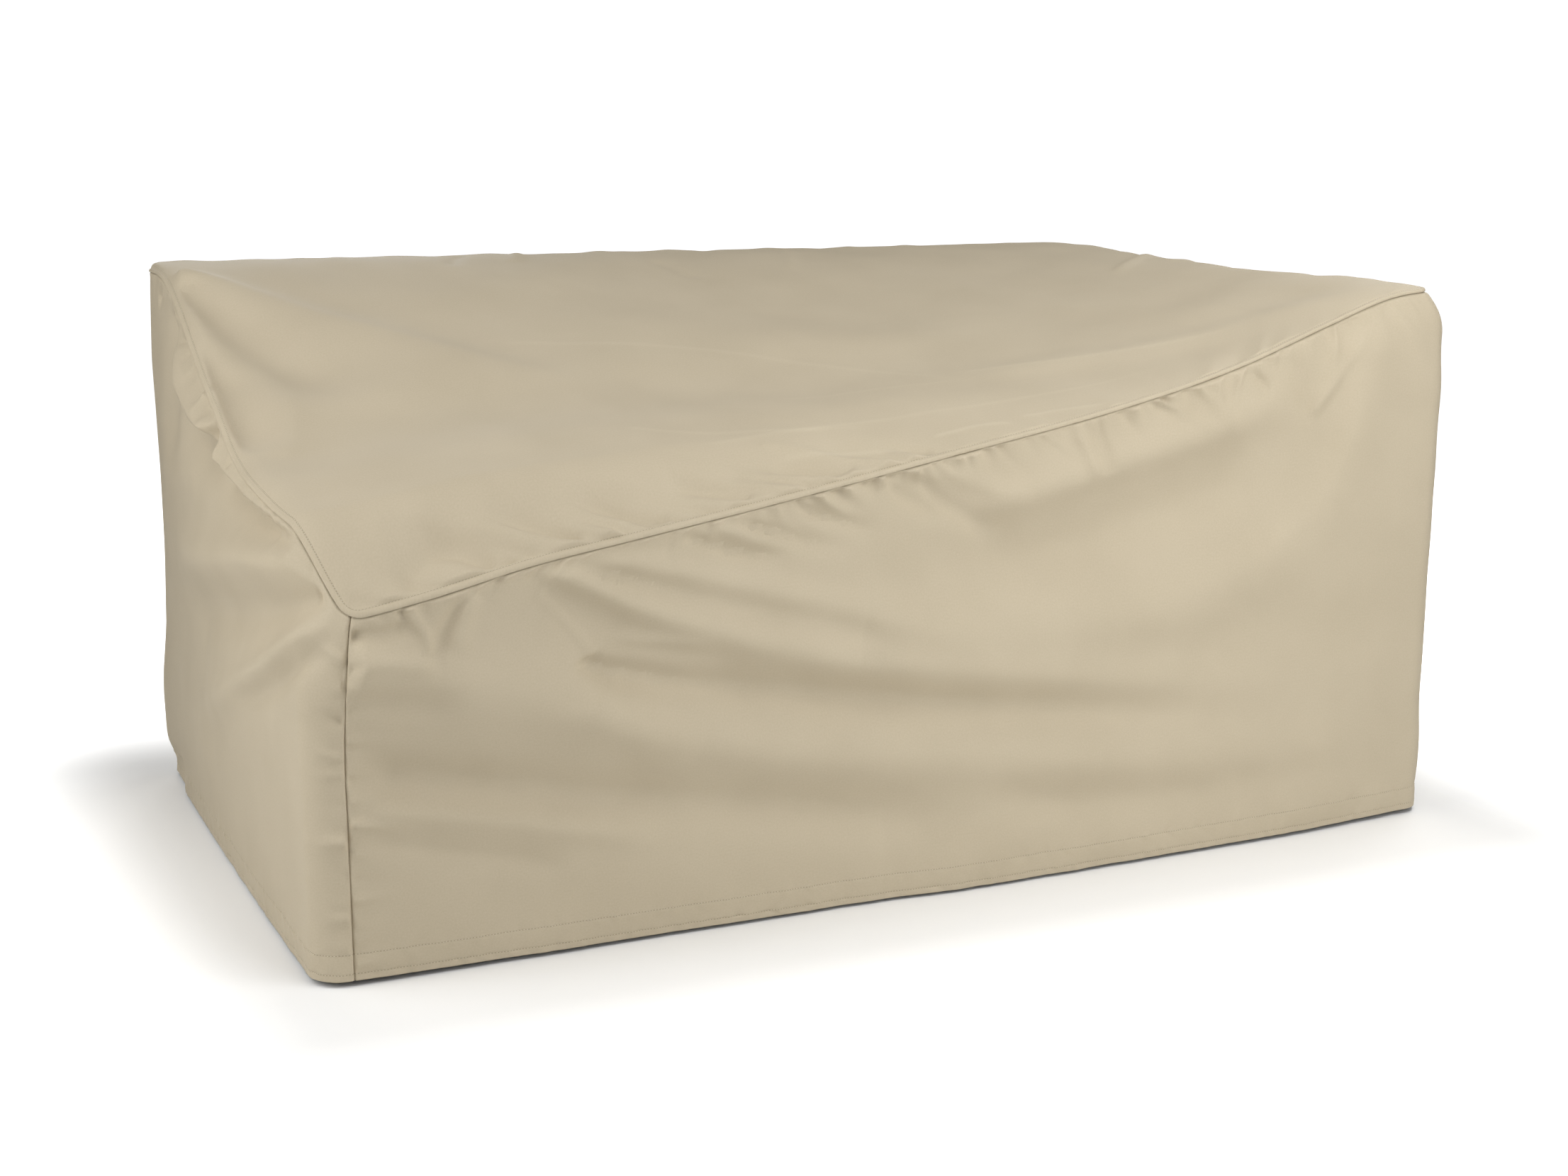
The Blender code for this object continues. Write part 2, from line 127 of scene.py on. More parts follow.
# Soft ridges and valleys. Each fold's line is a parabola through its three points, cut into
# straight steps; its height falls off as a bell of the distance to that line, whose width grows
# from width to spread. It fades in over its onset and out over its ending, which are shares of the
# line's length, and both fades are a little open at the line's very ends. On the right of the line
# the width is scaled by under, which makes an edge that is sharp on one side.
def foldField(folds, a, b, steps=12, early=0.2, late=0.13):
    total = np.zeros_like(a)
    q = np.linspace(0.0, 1.0, steps + 1)
    for one in folds:
        start, middle, end = (np.array(p) for p in (one.start, one.middle, one.end))
        bow = 2.0 * middle - 0.5 * (start + end)
        line = np.outer((1 - q)**2, start) + np.outer(2 * q * (1 - q), bow) + np.outer(q**2, end)
        reach = 3.0 * max(one.width, one.spread)      # past three widths the bell is nothing
        low = line.min(0) - reach
        high = line.max(0) + reach
        near = (a > low[0]) & (a < high[0]) & (b > low[1]) & (b < high[1])
        if not near.any():
            continue
        pa = a[near]
        pb = b[near]
        nearest = np.full(pa.shape, np.inf)
        place = np.zeros_like(pa)
        onRight = np.zeros(pa.shape, bool)
        for n in range(steps):
            dx, dy = line[n + 1] - line[n]
            t = np.clip(((pa - line[n, 0]) * dx + (pb - line[n, 1]) * dy) / (dx * dx + dy * dy), 0, 1)
            apart = np.hypot(pa - line[n, 0] - t * dx, pb - line[n, 1] - t * dy)
            place = np.where(apart < nearest, (n + t) / steps, place)
            turned = dx * (pb - line[n, 1]) - dy * (pa - line[n, 0]) < 0
            onRight = np.where(apart < nearest, turned, onRight)
            nearest = np.minimum(nearest, apart)
        fade = smooth(0.0, one.onset, place + early * one.onset)
        fade = fade * smooth(0.0, one.ending, 1.0 + late * one.ending - place)
        width = (one.width + (one.spread - one.width) * place) * np.where(onRight, one.under, 1.0)
        total[near] += one.rise * fade * np.exp(-(nearest / width)**2)
    return total


# Uneven ground: a sum of sine waves with seeded directions and phases, scaled to about -1 to 1.
def unevenness(a, b, size, seed, waves=14):
    rng = np.random.default_rng(seed)
    total = np.zeros_like(a)
    for turn, stretch, phase in zip(rng.uniform(0, math.pi, waves), rng.uniform(0.6, 1.7, waves),
                                    rng.uniform(0, 2 * math.pi, waves)):
        pace = 2 * math.pi / (size * stretch)
        total += np.sin(pace * (a * math.cos(turn) + b * math.sin(turn)) + phase)
    return total / math.sqrt(waves)


# How far gathers vary at random about their settings; one in three is a hollow, a little shallower.
gatherSpread = {"pitch": (0.45, 1.6), "rise": (0.25, 1.0), "signs": [1.0, 1.0, -0.8],
                "reach": (0.4, 1.5), "width": (0.7, 1.5)}


# Gathers along a seam: short ridges and hollows that start at the seam, lean over, widen and die
# away. Each is a bell across its own leaning line times an exponential of the distance from the
# seam; how strong they are and how they lean is read from two tables of places and values.
def gathers(along, away, settings, span=0.16):
    rng = np.random.default_rng(settings["seed"])
    total = np.zeros_like(along)
    place = along.min()
    end = along.max()
    while place < end:
        place += settings["pitch"] * rng.uniform(*gatherSpread["pitch"])
        strength = settings["rise"] * rng.uniform(*gatherSpread["rise"])
        strength *= rng.choice(gatherSpread["signs"])
        strength *= float(through(settings["strengths"], np.array(place)))
        lean = float(through(settings["leans"], np.array(place))) + rng.normal(0.0, settings["leanSpread"])
        reach = settings["reach"] * rng.uniform(*gatherSpread["reach"])
        width = settings["width"] * rng.uniform(*gatherSpread["width"])
        near = (np.abs(along - place) < span) & (away < 5 * reach)
        off = along[near] - place - lean * away[near]
        wide = width * (1.0 + away[near] / (2.0 * reach))
        total[near] += strength * np.exp(-(off / wide)**2 - away[near] / reach)
    return total


def leftInset(y):
    # A parabola over the tip's reach, then a slow step in towards the back corner.
    atTip = tipEdge.inset * np.clip(1.0 - y / outline["tipReach"], 0.0, 1.0)**2
    start = cover["depth"] - outline["backReach"]
    return atTip + leftEdge.inset * smooth(start, cover["depth"], y + outline["backLead"])


def rightInset(y):
    # Less near the front corner, where the arm fills the cloth out.
    return rightEdge.inset - outline["armFill"] * (1.0 - smooth(0.0, outline["armReach"], y))


def frontInset(x):
    # A slow step in where the arm's front edge is round.
    return frontEdge.inset * smooth(*outline["armRound"], x)


# The top's main form: both ruled surfaces between opposite seams, added, less the corners' own
# bilinear surface, and rolled down towards the front seam over the seat cushion.
def seamHeight(x, y):
    u = x / cover["width"]
    v = y / cover["depth"]
    roll = through(seatRoll, x)
    front = through(frontSeam, x) + roll
    left = through(leftSeam, y)
    right = through(rightSeam, y)
    back = through(backSeam, x)
    corners = ((1 - u) * (1 - v) * leftSeam[0].height + u * (1 - v) * frontSeam[-1].height
               + (1 - u) * v * leftSeam[-1].height + u * v * backSeam[-1].height)
    lofted = (1 - u) * left + u * right + (1 - v) * front + v * back - corners
    over = (1.0 - smooth(*cover["rollSpan"], y)) / (1.0 - smooth(*cover["rollSpan"], 0.0))
    return lofted - roll * over


# Rim count of a length of cloth above the seam: 0 at the seam, 1 at the skirt's top, 2 at the bend's end.
def rimCount(run):
    arc = cover["bend"] * math.pi / 2
    return np.where(run < cover["skirt"], run / cover["skirt"], 1.0 + (run - cover["skirt"]) / arc)


# Lengths of cloth from the seam's edge at which the rim's lines lie.
rimRuns = np.array([0, 0.75, 1.5, 2.4, 3.3, 4.3, 5.3, 6.2, 7.3, 8.3, 9.0, 9.7, 10.8, 12.4, 14.4,
                    16.8]) / 1000
topStitch = 0.009                                           # from the seam's edge to the topstitching
allRim = cover["skirt"] + cover["bend"] * math.pi / 2


# Places between two ends whose steps follow a table of step sizes along the way: the running sum
# of one over the step counts the lines, and whole counts are looked up in it.
def spacedLines(start, end, steps, samples=4001):
    fine = np.linspace(start, end, samples)
    count = np.concatenate([[0.0], np.cumsum(np.diff(fine) / through(steps, fine[1:]))])
    whole = max(int(round(count[-1])), 2)
    return np.interp(np.linspace(0.0, count[-1], whole + 1), count, fine)


# Grid lines across the top: the rim's, then the open cloth's, then the rim's again. Gives rim
# counts and plan distances from the start.
def topLines(length, steps, margin=0.003):
    counts = np.minimum(rimCount(rimRuns), 2.0)
    reach = np.minimum(rimRuns / allRim, 1.0) * cover["bend"] + np.maximum(rimRuns - allRim, 0.0)
    inner = spacedLines(reach[-1] + margin, length - reach[-1] - margin, steps)
    rim = np.concatenate([counts, np.full(len(inner), 2.0), counts[::-1]])
    return rim, np.concatenate([reach, inner, length - reach[::-1]])


# Distances of places on the plan from its front, back, left and right edges.
def fromEdges(px, py):
    return np.stack([py, cover["depth"] - py, px, cover["width"] - px])


# Square rings into rings with round corners: within a corner, the line's share of the way to the
# corner turns an angle from 0 to 45 degrees round a circle that shrinks with the ring.
def rounded(px, py, near, inset, radius):
    fromX = np.minimum(px, cover["width"] - px)
    fromY = np.minimum(py, cover["depth"] - py)
    far = np.maximum(fromX, fromY)
    ring = np.maximum(radius - inset, 1e-6)
    share = np.clip((far - near) / np.maximum(radius - near, 1e-6), 0.0, 1.0)
    turn = math.pi / 4 * (1.0 - share)
    atCorner = far < radius
    along = np.where(atCorner, inset + ring * (1.0 - np.sin(turn)), far)
    across = np.where(atCorner, inset + ring * (1.0 - np.cos(turn)), inset)
    inX = np.where(fromX <= fromY, across, along)
    inY = np.where(fromX <= fromY, along, across)
    x = np.where(px < cover["width"] / 2, inX, cover["width"] - inX)
    y = np.where(py < cover["depth"] / 2, inY, cover["depth"] - inY)
    return x, y


def pulledIn(place, length, lowInset, highInset):
    # A span squeezed so that its ends move in.
    return lowInset + place * (length - lowInset - highInset) / length


# The corner's radius that a place on the top belongs to: the near left tip's, the puffed corner's
# behind it, or that of both corners on the right.
def topRadius(px, py):
    atLeft = px < cover["width"] / 2
    atTip = atLeft & (py < cover["depth"] / 2)
    return np.where(atTip, cover["tipRadius"], np.where(atLeft, cover["puffRadius"], cover["topRadius"]))


# The top's plan: rings with round corners, squeezed between the insets of opposite edges.
def topPlan(px, py, near, inset):
    x, y = rounded(px, py, near, inset, topRadius(px, py))
    x = pulledIn(x, cover["width"], leftInset(y), rightInset(y))
    return x, pulledIn(y, cover["depth"], frontInset(x), backEdge.inset)


# Moves a grid along its own normals, which are the cross products of its two directions.
def displaced(x, y, z, height):
    p = np.stack([x, y, z], -1)
    n = np.cross(np.gradient(p, axis=0), np.gradient(p, axis=1))
    n /= np.maximum(np.linalg.norm(n, axis=-1, keepdims=True), 1e-12)
    return p + n * height[..., None], n


# Folds: on the top in (x, y), on the front and back in (x, z), on the sides in (y, z).

topFolds = [
    fold((0.02, 0.9), (0.245, 0.65), (0.6, 0.345), 0.026, 0.052, 0.015, 0.06, 1.7),  # the corner's ridge
    fold((0.03, 0.86), (0.085, 0.68), (0.2, 0.46), 0.016, 0.055, -0.015, 0.1),  # hollow to its left
    fold((0.012, 0.8), (0.035, 0.66), (0.05, 0.56), 0.014, 0.024, 0.005),
    fold((0.03, 0.66), (0.026, 0.5), (0.03, 0.36), 0.036, 0.036, -0.019, 0.4, 0.5, 0.4),  # pocket
    fold((0.06, 0.33), (0.09, 0.42), (0.1, 0.52), 0.02, 0.026, 0.005),
    fold((0.3, 0.6), (0.62, 0.38), (1.0, 0.28), 0.08, 0.1, -0.005),
    fold((0.55, 0.62), (0.95, 0.5), (1.35, 0.3), 0.09, 0.09, 0.006),
    fold((0.7, 0.95), (0.95, 0.72), (1.3, 0.6), 0.14, 0.14, -0.007),
    fold((1.25, 0.9), (1.45, 0.6), (1.55, 0.3), 0.12, 0.12, -0.003),
    fold((1.06, 0.245), (1.4, 0.16), (1.68, 0.045), 0.04, 0.045, 0.008),   # edge of the lit corner
    fold((0.62, 0.2), (0.95, 0.16), (1.35, 0.11), 0.05, 0.05, 0.004),
    fold((0.12, 0.05), (0.42, 0.052), (0.9, 0.042), 0.03, 0.024, -0.007, 0.08),  # below the cushion's roll
    fold((0.13, 0.018), (0.18, 0.052), (0.24, 0.086), 0.014, 0.024, -0.008, 0.2),    # gathers over the seam
    fold((0.25, 0.014), (0.21, 0.046), (0.155, 0.078), 0.01, 0.018, -0.008, 0.1),
    fold((0.31, 0.014), (0.275, 0.042), (0.225, 0.068), 0.01, 0.016, 0.006, 0.1),
    fold((0.37, 0.014), (0.325, 0.046), (0.265, 0.082), 0.01, 0.018, -0.0085, 0.1),
    fold((0.43, 0.014), (0.395, 0.04), (0.345, 0.064), 0.009, 0.014, 0.005, 0.1),
    fold((0.49, 0.014), (0.435, 0.046), (0.37, 0.076), 0.011, 0.018, -0.008, 0.1),
    fold((0.61, 0.014), (0.56, 0.042), (0.5, 0.068), 0.01, 0.017, -0.0065, 0.1),
    fold((0.69, 0.012), (0.65, 0.036), (0.6, 0.058), 0.009, 0.014, 0.004, 0.1),
    fold((0.76, 0.012), (0.715, 0.036), (0.66, 0.058), 0.01, 0.015, -0.0055, 0.1),
    fold((0.88, 0.012), (0.845, 0.032), (0.8, 0.05), 0.009, 0.013, -0.004, 0.1),
    fold((0.84, 0.94), (0.86, 0.87), (0.87, 0.82), 0.018, 0.018, -0.005),     # dimples behind
    fold((0.52, 1.02), (0.49, 0.96), (0.47, 0.9), 0.014, 0.014, -0.004),
    fold((1.12, 1.0), (1.09, 0.92), (1.06, 0.84), 0.014, 0.014, 0.004),
    fold((0.62, 1.02), (0.6, 0.97), (0.58, 0.92), 0.014, 0.014, 0.004),
    fold((1.72, 0.72), (1.64, 0.66), (1.56, 0.6), 0.014, 0.014, 0.004),
]
# Thin pale lines pressed into the top when the cover was packed; the rise here is how plain each is,
# from 0 to 1.
packingCreases = [
    fold((0.45, 0.585), (0.8, 0.462), (1.065, 0.215), 0.0045, 0.0045, 0.6, 0.05),
    fold((1.07, 0.265), (1.28, 0.19), (1.49, 0.12), 0.0045, 0.0045, 0.8, 0.05),
    fold((0.77, 0.265), (0.91, 0.245), (1.07, 0.225), 0.004, 0.004, 0.5, 0.05),
    fold((0.51, 0.215), (0.65, 0.142), (0.85, 0.098), 0.004, 0.004, 0.7, 0.05),
    fold((0.58, 0.12), (0.96, 0.11), (1.33, 0.085), 0.004, 0.004, 0.6, 0.05),
    fold((0.68, 0.07), (0.77, 0.052), (0.86, 0.034), 0.0035, 0.0035, 0.8, 0.05),
    fold((0.9, 0.044), (0.98, 0.046), (1.02, 0.03), 0.0035, 0.0035, 1.0, 0.05),
    fold((1.04, 0.044), (1.12, 0.034), (1.17, 0.018), 0.0035, 0.0035, 0.8, 0.05),
]
frontFolds = [
    fold((0.36, 0.527), (0.64, 0.45), (0.96, 0.355), 0.015, 0.03, 0.0115, 0.1),
    fold((0.29, 0.53), (0.8, 0.335), (1.62, 0.228), 0.013, 0.054, 0.0175, 0.05),  # the long pulled fold
    fold((0.36, 0.392), (0.64, 0.314), (1.55, 0.19), 0.012, 0.04, -0.015, 0.17),
    fold((0.39, 0.412), (0.46, 0.404), (0.55, 0.388), 0.008, 0.01, 0.004, 0.4),
    fold((0.35, 0.348), (0.66, 0.23), (1.55, 0.13), 0.034, 0.05, 0.0165),
    fold((0.05, 0.4), (0.24, 0.352), (0.52, 0.262), 0.05, 0.062, 0.024, 0.1),
    fold((0.05, 0.272), (0.48, 0.182), (1.0, 0.078), 0.032, 0.04, -0.018, 0.1),
    fold((0.07, 0.222), (0.27, 0.182), (0.47, 0.128), 0.016, 0.022, 0.0085, 0.1),
    fold((0.06, 0.18), (0.2, 0.146), (0.36, 0.105), 0.017, 0.02, -0.0065),
    fold((0.95, 0.125), (1.25, 0.092), (1.66, 0.085), 0.036, 0.036, -0.01),
    fold((0.8, 0.06), (1.25, 0.05), (1.74, 0.05), 0.13, 0.14, 0.014),   # flares out low down
    fold((0.9, 0.53), (1.2, 0.6), (1.5, 0.672), 0.026, 0.034, 0.015, 0.2),   # over the hollow
    fold((0.86, 0.45), (1.2, 0.5), (1.472, 0.585), 0.05, 0.056, -0.02, 0.4, 1.0, 0.36),
    fold((1.6, 0.78), (1.52, 0.5), (1.18, 0.365), 0.06, 0.075, 0.015, 0.1, 0.5),  # the arm's edge
    fold((1.68, 0.76), (1.64, 0.48), (1.35, 0.32), 0.1, 0.11, 0.007),
    fold((0.76, 0.388), (1.02, 0.364), (1.4, 0.376), 0.046, 0.056, 0.018),
    fold((1.47, 0.74), (1.5, 0.69), (1.505, 0.63), 0.022, 0.016, -0.006),
    fold((1.508, 0.645), (1.56, 0.7), (1.615, 0.785), 0.012, 0.01, 0.0075, 0.15),
    fold((0.3, 0.48), (0.35, 0.425), (0.37, 0.392), 0.007, 0.007, 0.0016, 0.1),  # a pressed crease
    fold((0.065, 0.452), (0.1, 0.446), (0.137, 0.458), 0.013, 0.011, -0.0095, 0.1),  # pocket at the tip
    fold((0.13, 0.468), (0.15, 0.445), (0.155, 0.415), 0.007, 0.009, 0.0075, 0.1),
    fold((0.205, 0.485), (0.18, 0.445), (0.15, 0.395), 0.009, 0.016, -0.0062, 0.1, 1.0, 0.6),
    fold((0.22, 0.485), (0.205, 0.45), (0.19, 0.41), 0.012, 0.016, 0.005, 0.1),
    fold((0.06, 0.415), (0.11, 0.41), (0.17, 0.4), 0.014, 0.014, 0.008),
    fold((0.05, 0.368), (0.11, 0.36), (0.2, 0.345), 0.016, 0.02, -0.009),
    fold((0.84, 0.6), (0.9, 0.55), (0.98, 0.508), 0.011, 0.022, -0.009, 0.1),
    fold((0.88, 0.612), (0.95, 0.575), (1.03, 0.56), 0.011, 0.018, 0.006, 0.1),
    fold((0.8, 0.59), (0.84, 0.56), (0.9, 0.535), 0.009, 0.014, -0.007, 0.1),
    fold((0.5, 0.548), (0.56, 0.515), (0.66, 0.496), 0.009, 0.013, -0.007, 0.1),
    fold((0.57, 0.562), (0.64, 0.528), (0.74, 0.505), 0.009, 0.013, -0.007, 0.1),
    fold((0.54, 0.553), (0.6, 0.53), (0.68, 0.512), 0.008, 0.012, 0.0055, 0.1),
    fold((0.66, 0.575), (0.72, 0.545), (0.8, 0.525), 0.008, 0.012, -0.006, 0.1),
    fold((1.09, 0.655), (1.12, 0.61), (1.135, 0.562), 0.01, 0.01, 0.0055, 0.1),
    fold((1.14, 0.655), (1.15, 0.61), (1.15, 0.575), 0.01, 0.01, -0.0035, 0.1),
    fold((1.4, 0.715), (1.42, 0.7), (1.44, 0.68), 0.008, 0.01, -0.007, 0.1),
    fold((1.6, 0.79), (1.585, 0.74), (1.56, 0.69), 0.01, 0.014, -0.0045),
    fold((1.565, 0.78), (1.555, 0.73), (1.54, 0.69), 0.008, 0.01, 0.0035),
    fold((1.66, 0.795), (1.69, 0.765), (1.73, 0.715), 0.01, 0.014, 0.0045),
]
leftFolds = [
    fold((0.49, 0.652), (0.645, 0.672), (0.795, 0.778), 0.04, 0.036, 0.026, 0.14, 0.34, 0.45),  # arm's bag
    fold((0.06, 0.548), (0.42, 0.576), (0.82, 0.65), 0.02, 0.048, -0.021, 0.15),   # slack under the bags
    fold((0.0, 0.578), (0.24, 0.584), (0.475, 0.615), 0.026, 0.03, 0.024, 0.2, 0.32, 0.08),
    fold((0.455, 0.668), (0.478, 0.652), (0.505, 0.632), 0.01, 0.012, -0.018, 0.1),   # the pinch
    fold((0.37, 0.618), (0.4, 0.612), (0.445, 0.612), 0.006, 0.008, -0.007, 0.1),
    fold((0.0, 0.555), (0.3, 0.5), (0.9, 0.4), 0.018, 0.048, 0.019, 0.05),
    fold((0.0, 0.505), (0.3, 0.42), (0.98, 0.3), 0.015, 0.056, -0.018, 0.05),
    fold((0.0, 0.47), (0.25, 0.352), (0.72, 0.19), 0.013, 0.036, 0.014, 0.05),
    fold((0.0, 0.43), (0.15, 0.358), (0.42, 0.272), 0.013, 0.024, -0.009, 0.05),
    fold((0.8, 0.8), (0.84, 0.68), (0.9, 0.56), 0.04, 0.06, -0.012),   # slack behind the bag
    fold((1.1, 0.7), (1.1, 0.44), (1.1, 0.18), 0.13, 0.14, -0.0085, 0.5, 1.0, 0.5),
    fold((1.08, 0.26), (1.08, 0.12), (1.08, 0.0), 0.08, 0.08, 0.01, 0.6),
    fold((0.9, 0.832), (0.935, 0.81), (0.965, 0.79), 0.008, 0.012, -0.006, 0.1),
    fold((0.62, 0.56), (0.8, 0.54), (1.0, 0.54), 0.036, 0.036, 0.005),
    fold((0.6, 0.3), (0.8, 0.27), (1.0, 0.28), 0.05, 0.05, -0.004),
    fold((0.6, 0.15), (0.85, 0.13), (1.05, 0.11), 0.06, 0.06, 0.006),
    fold((0.92, 0.02), (1.0, 0.022), (1.08, 0.022), 0.026, 0.03, -0.014),  # hem turned in behind
]
backFolds = [
    fold((0.2, 0.7), (0.6, 0.48), (1.1, 0.42), 0.06, 0.08, -0.009),
    fold((0.25, 0.55), (0.7, 0.36), (1.3, 0.3), 0.05, 0.07, 0.008),
    fold((1.6, 0.68), (1.4, 0.45), (1.05, 0.3), 0.06, 0.08, -0.008),
    fold((0.3, 0.22), (0.9, 0.16), (1.5, 0.2), 0.07, 0.07, 0.007),
    fold((1.68, 0.62), (1.52, 0.4), (1.3, 0.22), 0.025, 0.05, 0.006),
    fold((0.14, 0.66), (0.34, 0.44), (0.62, 0.26), 0.025, 0.05, 0.006),
    fold((0.14, 0.6), (0.3, 0.38), (0.52, 0.2), 0.022, 0.04, -0.005),
]
rightFolds = [
    fold((0.15, 0.66), (0.45, 0.5), (0.85, 0.46), 0.05, 0.07, -0.008),
    fold((0.2, 0.46), (0.5, 0.36), (0.9, 0.34), 0.05, 0.07, 0.008),
    fold((0.2, 0.22), (0.55, 0.16), (0.9, 0.22), 0.06, 0.06, 0.006),
    fold((0.12, 0.72), (0.3, 0.6), (0.56, 0.54), 0.02, 0.04, 0.005),
    fold((0.98, 0.72), (0.86, 0.56), (0.66, 0.42), 0.024, 0.04, -0.005),
]

topPanel = {
    "stepsAcross": [(0.0, 0.0049), (0.90, 0.0050), (1.79, 0.0058)],
    "stepsDeep": [(0.0, 0.0033), (0.07, 0.0036), (0.12, 0.0050), (0.60, 0.0054), (0.95, 0.0072),
                  (1.08, 0.0060)],
    "stripRise": 0.0007, "stripEnd": (0.0078, 0.0102),     # the doubled strip outside the topstitching
    "stitchDip": 0.0005, "creaseRise": 0.0006,
    "foldsStart": (0.004, 0.022), "gathersStart": 0.004, "cornerClear": 0.02,
    "uneven": 0.0010, "unevenSize": 0.16, "unevenSeed": 11, "unevenStart": (0.02, 0.10),
}
frontStrip = {"seed": 4, "pitch": 0.030, "rise": 0.0115, "leanSpread": 0.35, "reach": 0.040, "width": 0.0105,
              "strengths": [(0.0, 0.05), (0.08, 0.7), (0.16, 1.0), (0.60, 0.9), (0.85, 0.7), (0.95, 0.35),
                            (1.30, 0.3), (1.42, 0.5), (1.52, 0.2), (1.79, 0.2)],
              "leans": [(0.0, 0.8), (0.1, -0.5), (0.20, -1.1), (0.9, -1.1), (1.42, 0.9), (1.79, 0.4)]}
leftStrip = {"seed": 12, "pitch": 0.034, "rise": 0.0024, "leanSpread": 0.5, "reach": 0.016, "width": 0.007,
             "strengths": [(0.0, 0.5), (0.3, 0.6), (0.45, 1.4), (0.65, 1.0), (1.08, 0.5)],
             "leans": [(0.0, 0.4), (1.08, 0.4)]}
backStrip = {"seed": 19, "pitch": 0.075, "rise": 0.0034, "leanSpread": 0.35, "reach": 0.050, "width": 0.020,
             "strengths": [(0.0, 0.8), (1.1, 1.0), (1.45, 0.5), (1.79, 0.4)],
             "leans": [(0.0, -0.2), (1.79, -0.3)]}
rightStrip = {"seed": 27, "pitch": 0.080, "rise": 0.0034, "leanSpread": 0.35, "reach": 0.045, "width": 0.020,
              "strengths": [(0.0, 0.8), (0.8, 1.0), (1.08, 0.4)],
              "leans": [(0.0, 0.5), (1.08, 0.5)]}


# The top's grid: rings inset and dropped by a quarter circle over the rim, heights from seamHeight,
# an exponential climb inside the rim, and folds on the open part. Also gives the length of cloth
# from the seam.
def topGrid():
    rimX, placeX = topLines(cover["width"], topPanel["stepsAcross"])
    rimY, placeY = topLines(cover["depth"], topPanel["stepsDeep"])
    m = np.minimum(*np.meshgrid(rimX, rimY, indexing="ij"))
    px, py = np.meshgrid(placeX, placeY, indexing="ij")
    sides = fromEdges(px, py)
    near = sides.min(0)
    turn = np.clip(m - 1.0, 0.0, 1.0) * math.pi / 2
    inset = np.where(m < 2.0, cover["bend"] * (1.0 - np.cos(turn)), near)
    drop = cover["skirt"] * (1.0 - np.clip(m, 0.0, 1.0)) + cover["bend"] * (1.0 - np.sin(turn))
    x, y = topPlan(px, py, near, inset)
    z = seamHeight(x, y) + cover["skirt"] + cover["bend"] - drop
    climb = 1.0       # over within each reach but for a twentieth, which is what the 3 gives
    for reach, side in zip(cover["crownReach"], sides):
        climb = climb * (1.0 - np.exp(-3.0 * np.maximum(side - cover["bend"], 0.0) / reach))
    # The corner behind on the left is puffed: there the climb is over within a few millimetres.
    puff = np.exp(-(px**2 + (cover["depth"] - py)**2) / cover["puffReach"]**2)
    quick = 1.0 - np.exp(-np.maximum(near - cover["bend"], 0.0) / cover["puffClimb"])
    climb = climb + (1.0 - climb) * puff * quick
    z = z + cover["crown"] * climb + smooth(*topPanel["foldsStart"], near) * foldField(topFolds, x, y)
    onRim = np.where(m < 1.0, m * cover["skirt"], cover["skirt"] + (m - 1.0) * cover["bend"] * math.pi / 2)
    run = np.where(m < 2.0, onRim, allRim + near - cover["bend"])
    return x, y, z, run, px, py


# What stands proud of the top's main form: the doubled strip along the seam, a dip along its
# stitches, gathers inside them and a slow unevenness.
def topRelief(x, y, run, px, py):
    doubled = topPanel["stripRise"] * (1.0 - smooth(*topPanel["stripEnd"], run))
    dip = topPanel["stitchDip"] * np.exp(-((run - topStitch) / stitching["dent"])**2)
    past = np.maximum(run - topStitch, 0.0)
    sides = fromEdges(px, py)
    side = np.argmin(sides, 0)
    ripple = np.zeros_like(x)
    for n, (where, strip) in enumerate([(x, frontStrip), (x, backStrip), (y, leftStrip), (y, rightStrip)]):
        ripple += np.where(side == n, gathers(where, past, strip), 0.0)
    ripple *= smooth(0.0, topPanel["cornerClear"], np.sort(sides, 0)[1])       # none across the corners
    slow = unevenness(x, y, topPanel["unevenSize"], topPanel["unevenSeed"])
    rest = topPanel["uneven"] * slow * smooth(*topPanel["unevenStart"], run)
    return doubled - dip + smooth(0.0, topPanel["gathersStart"], past) * ripple + rest


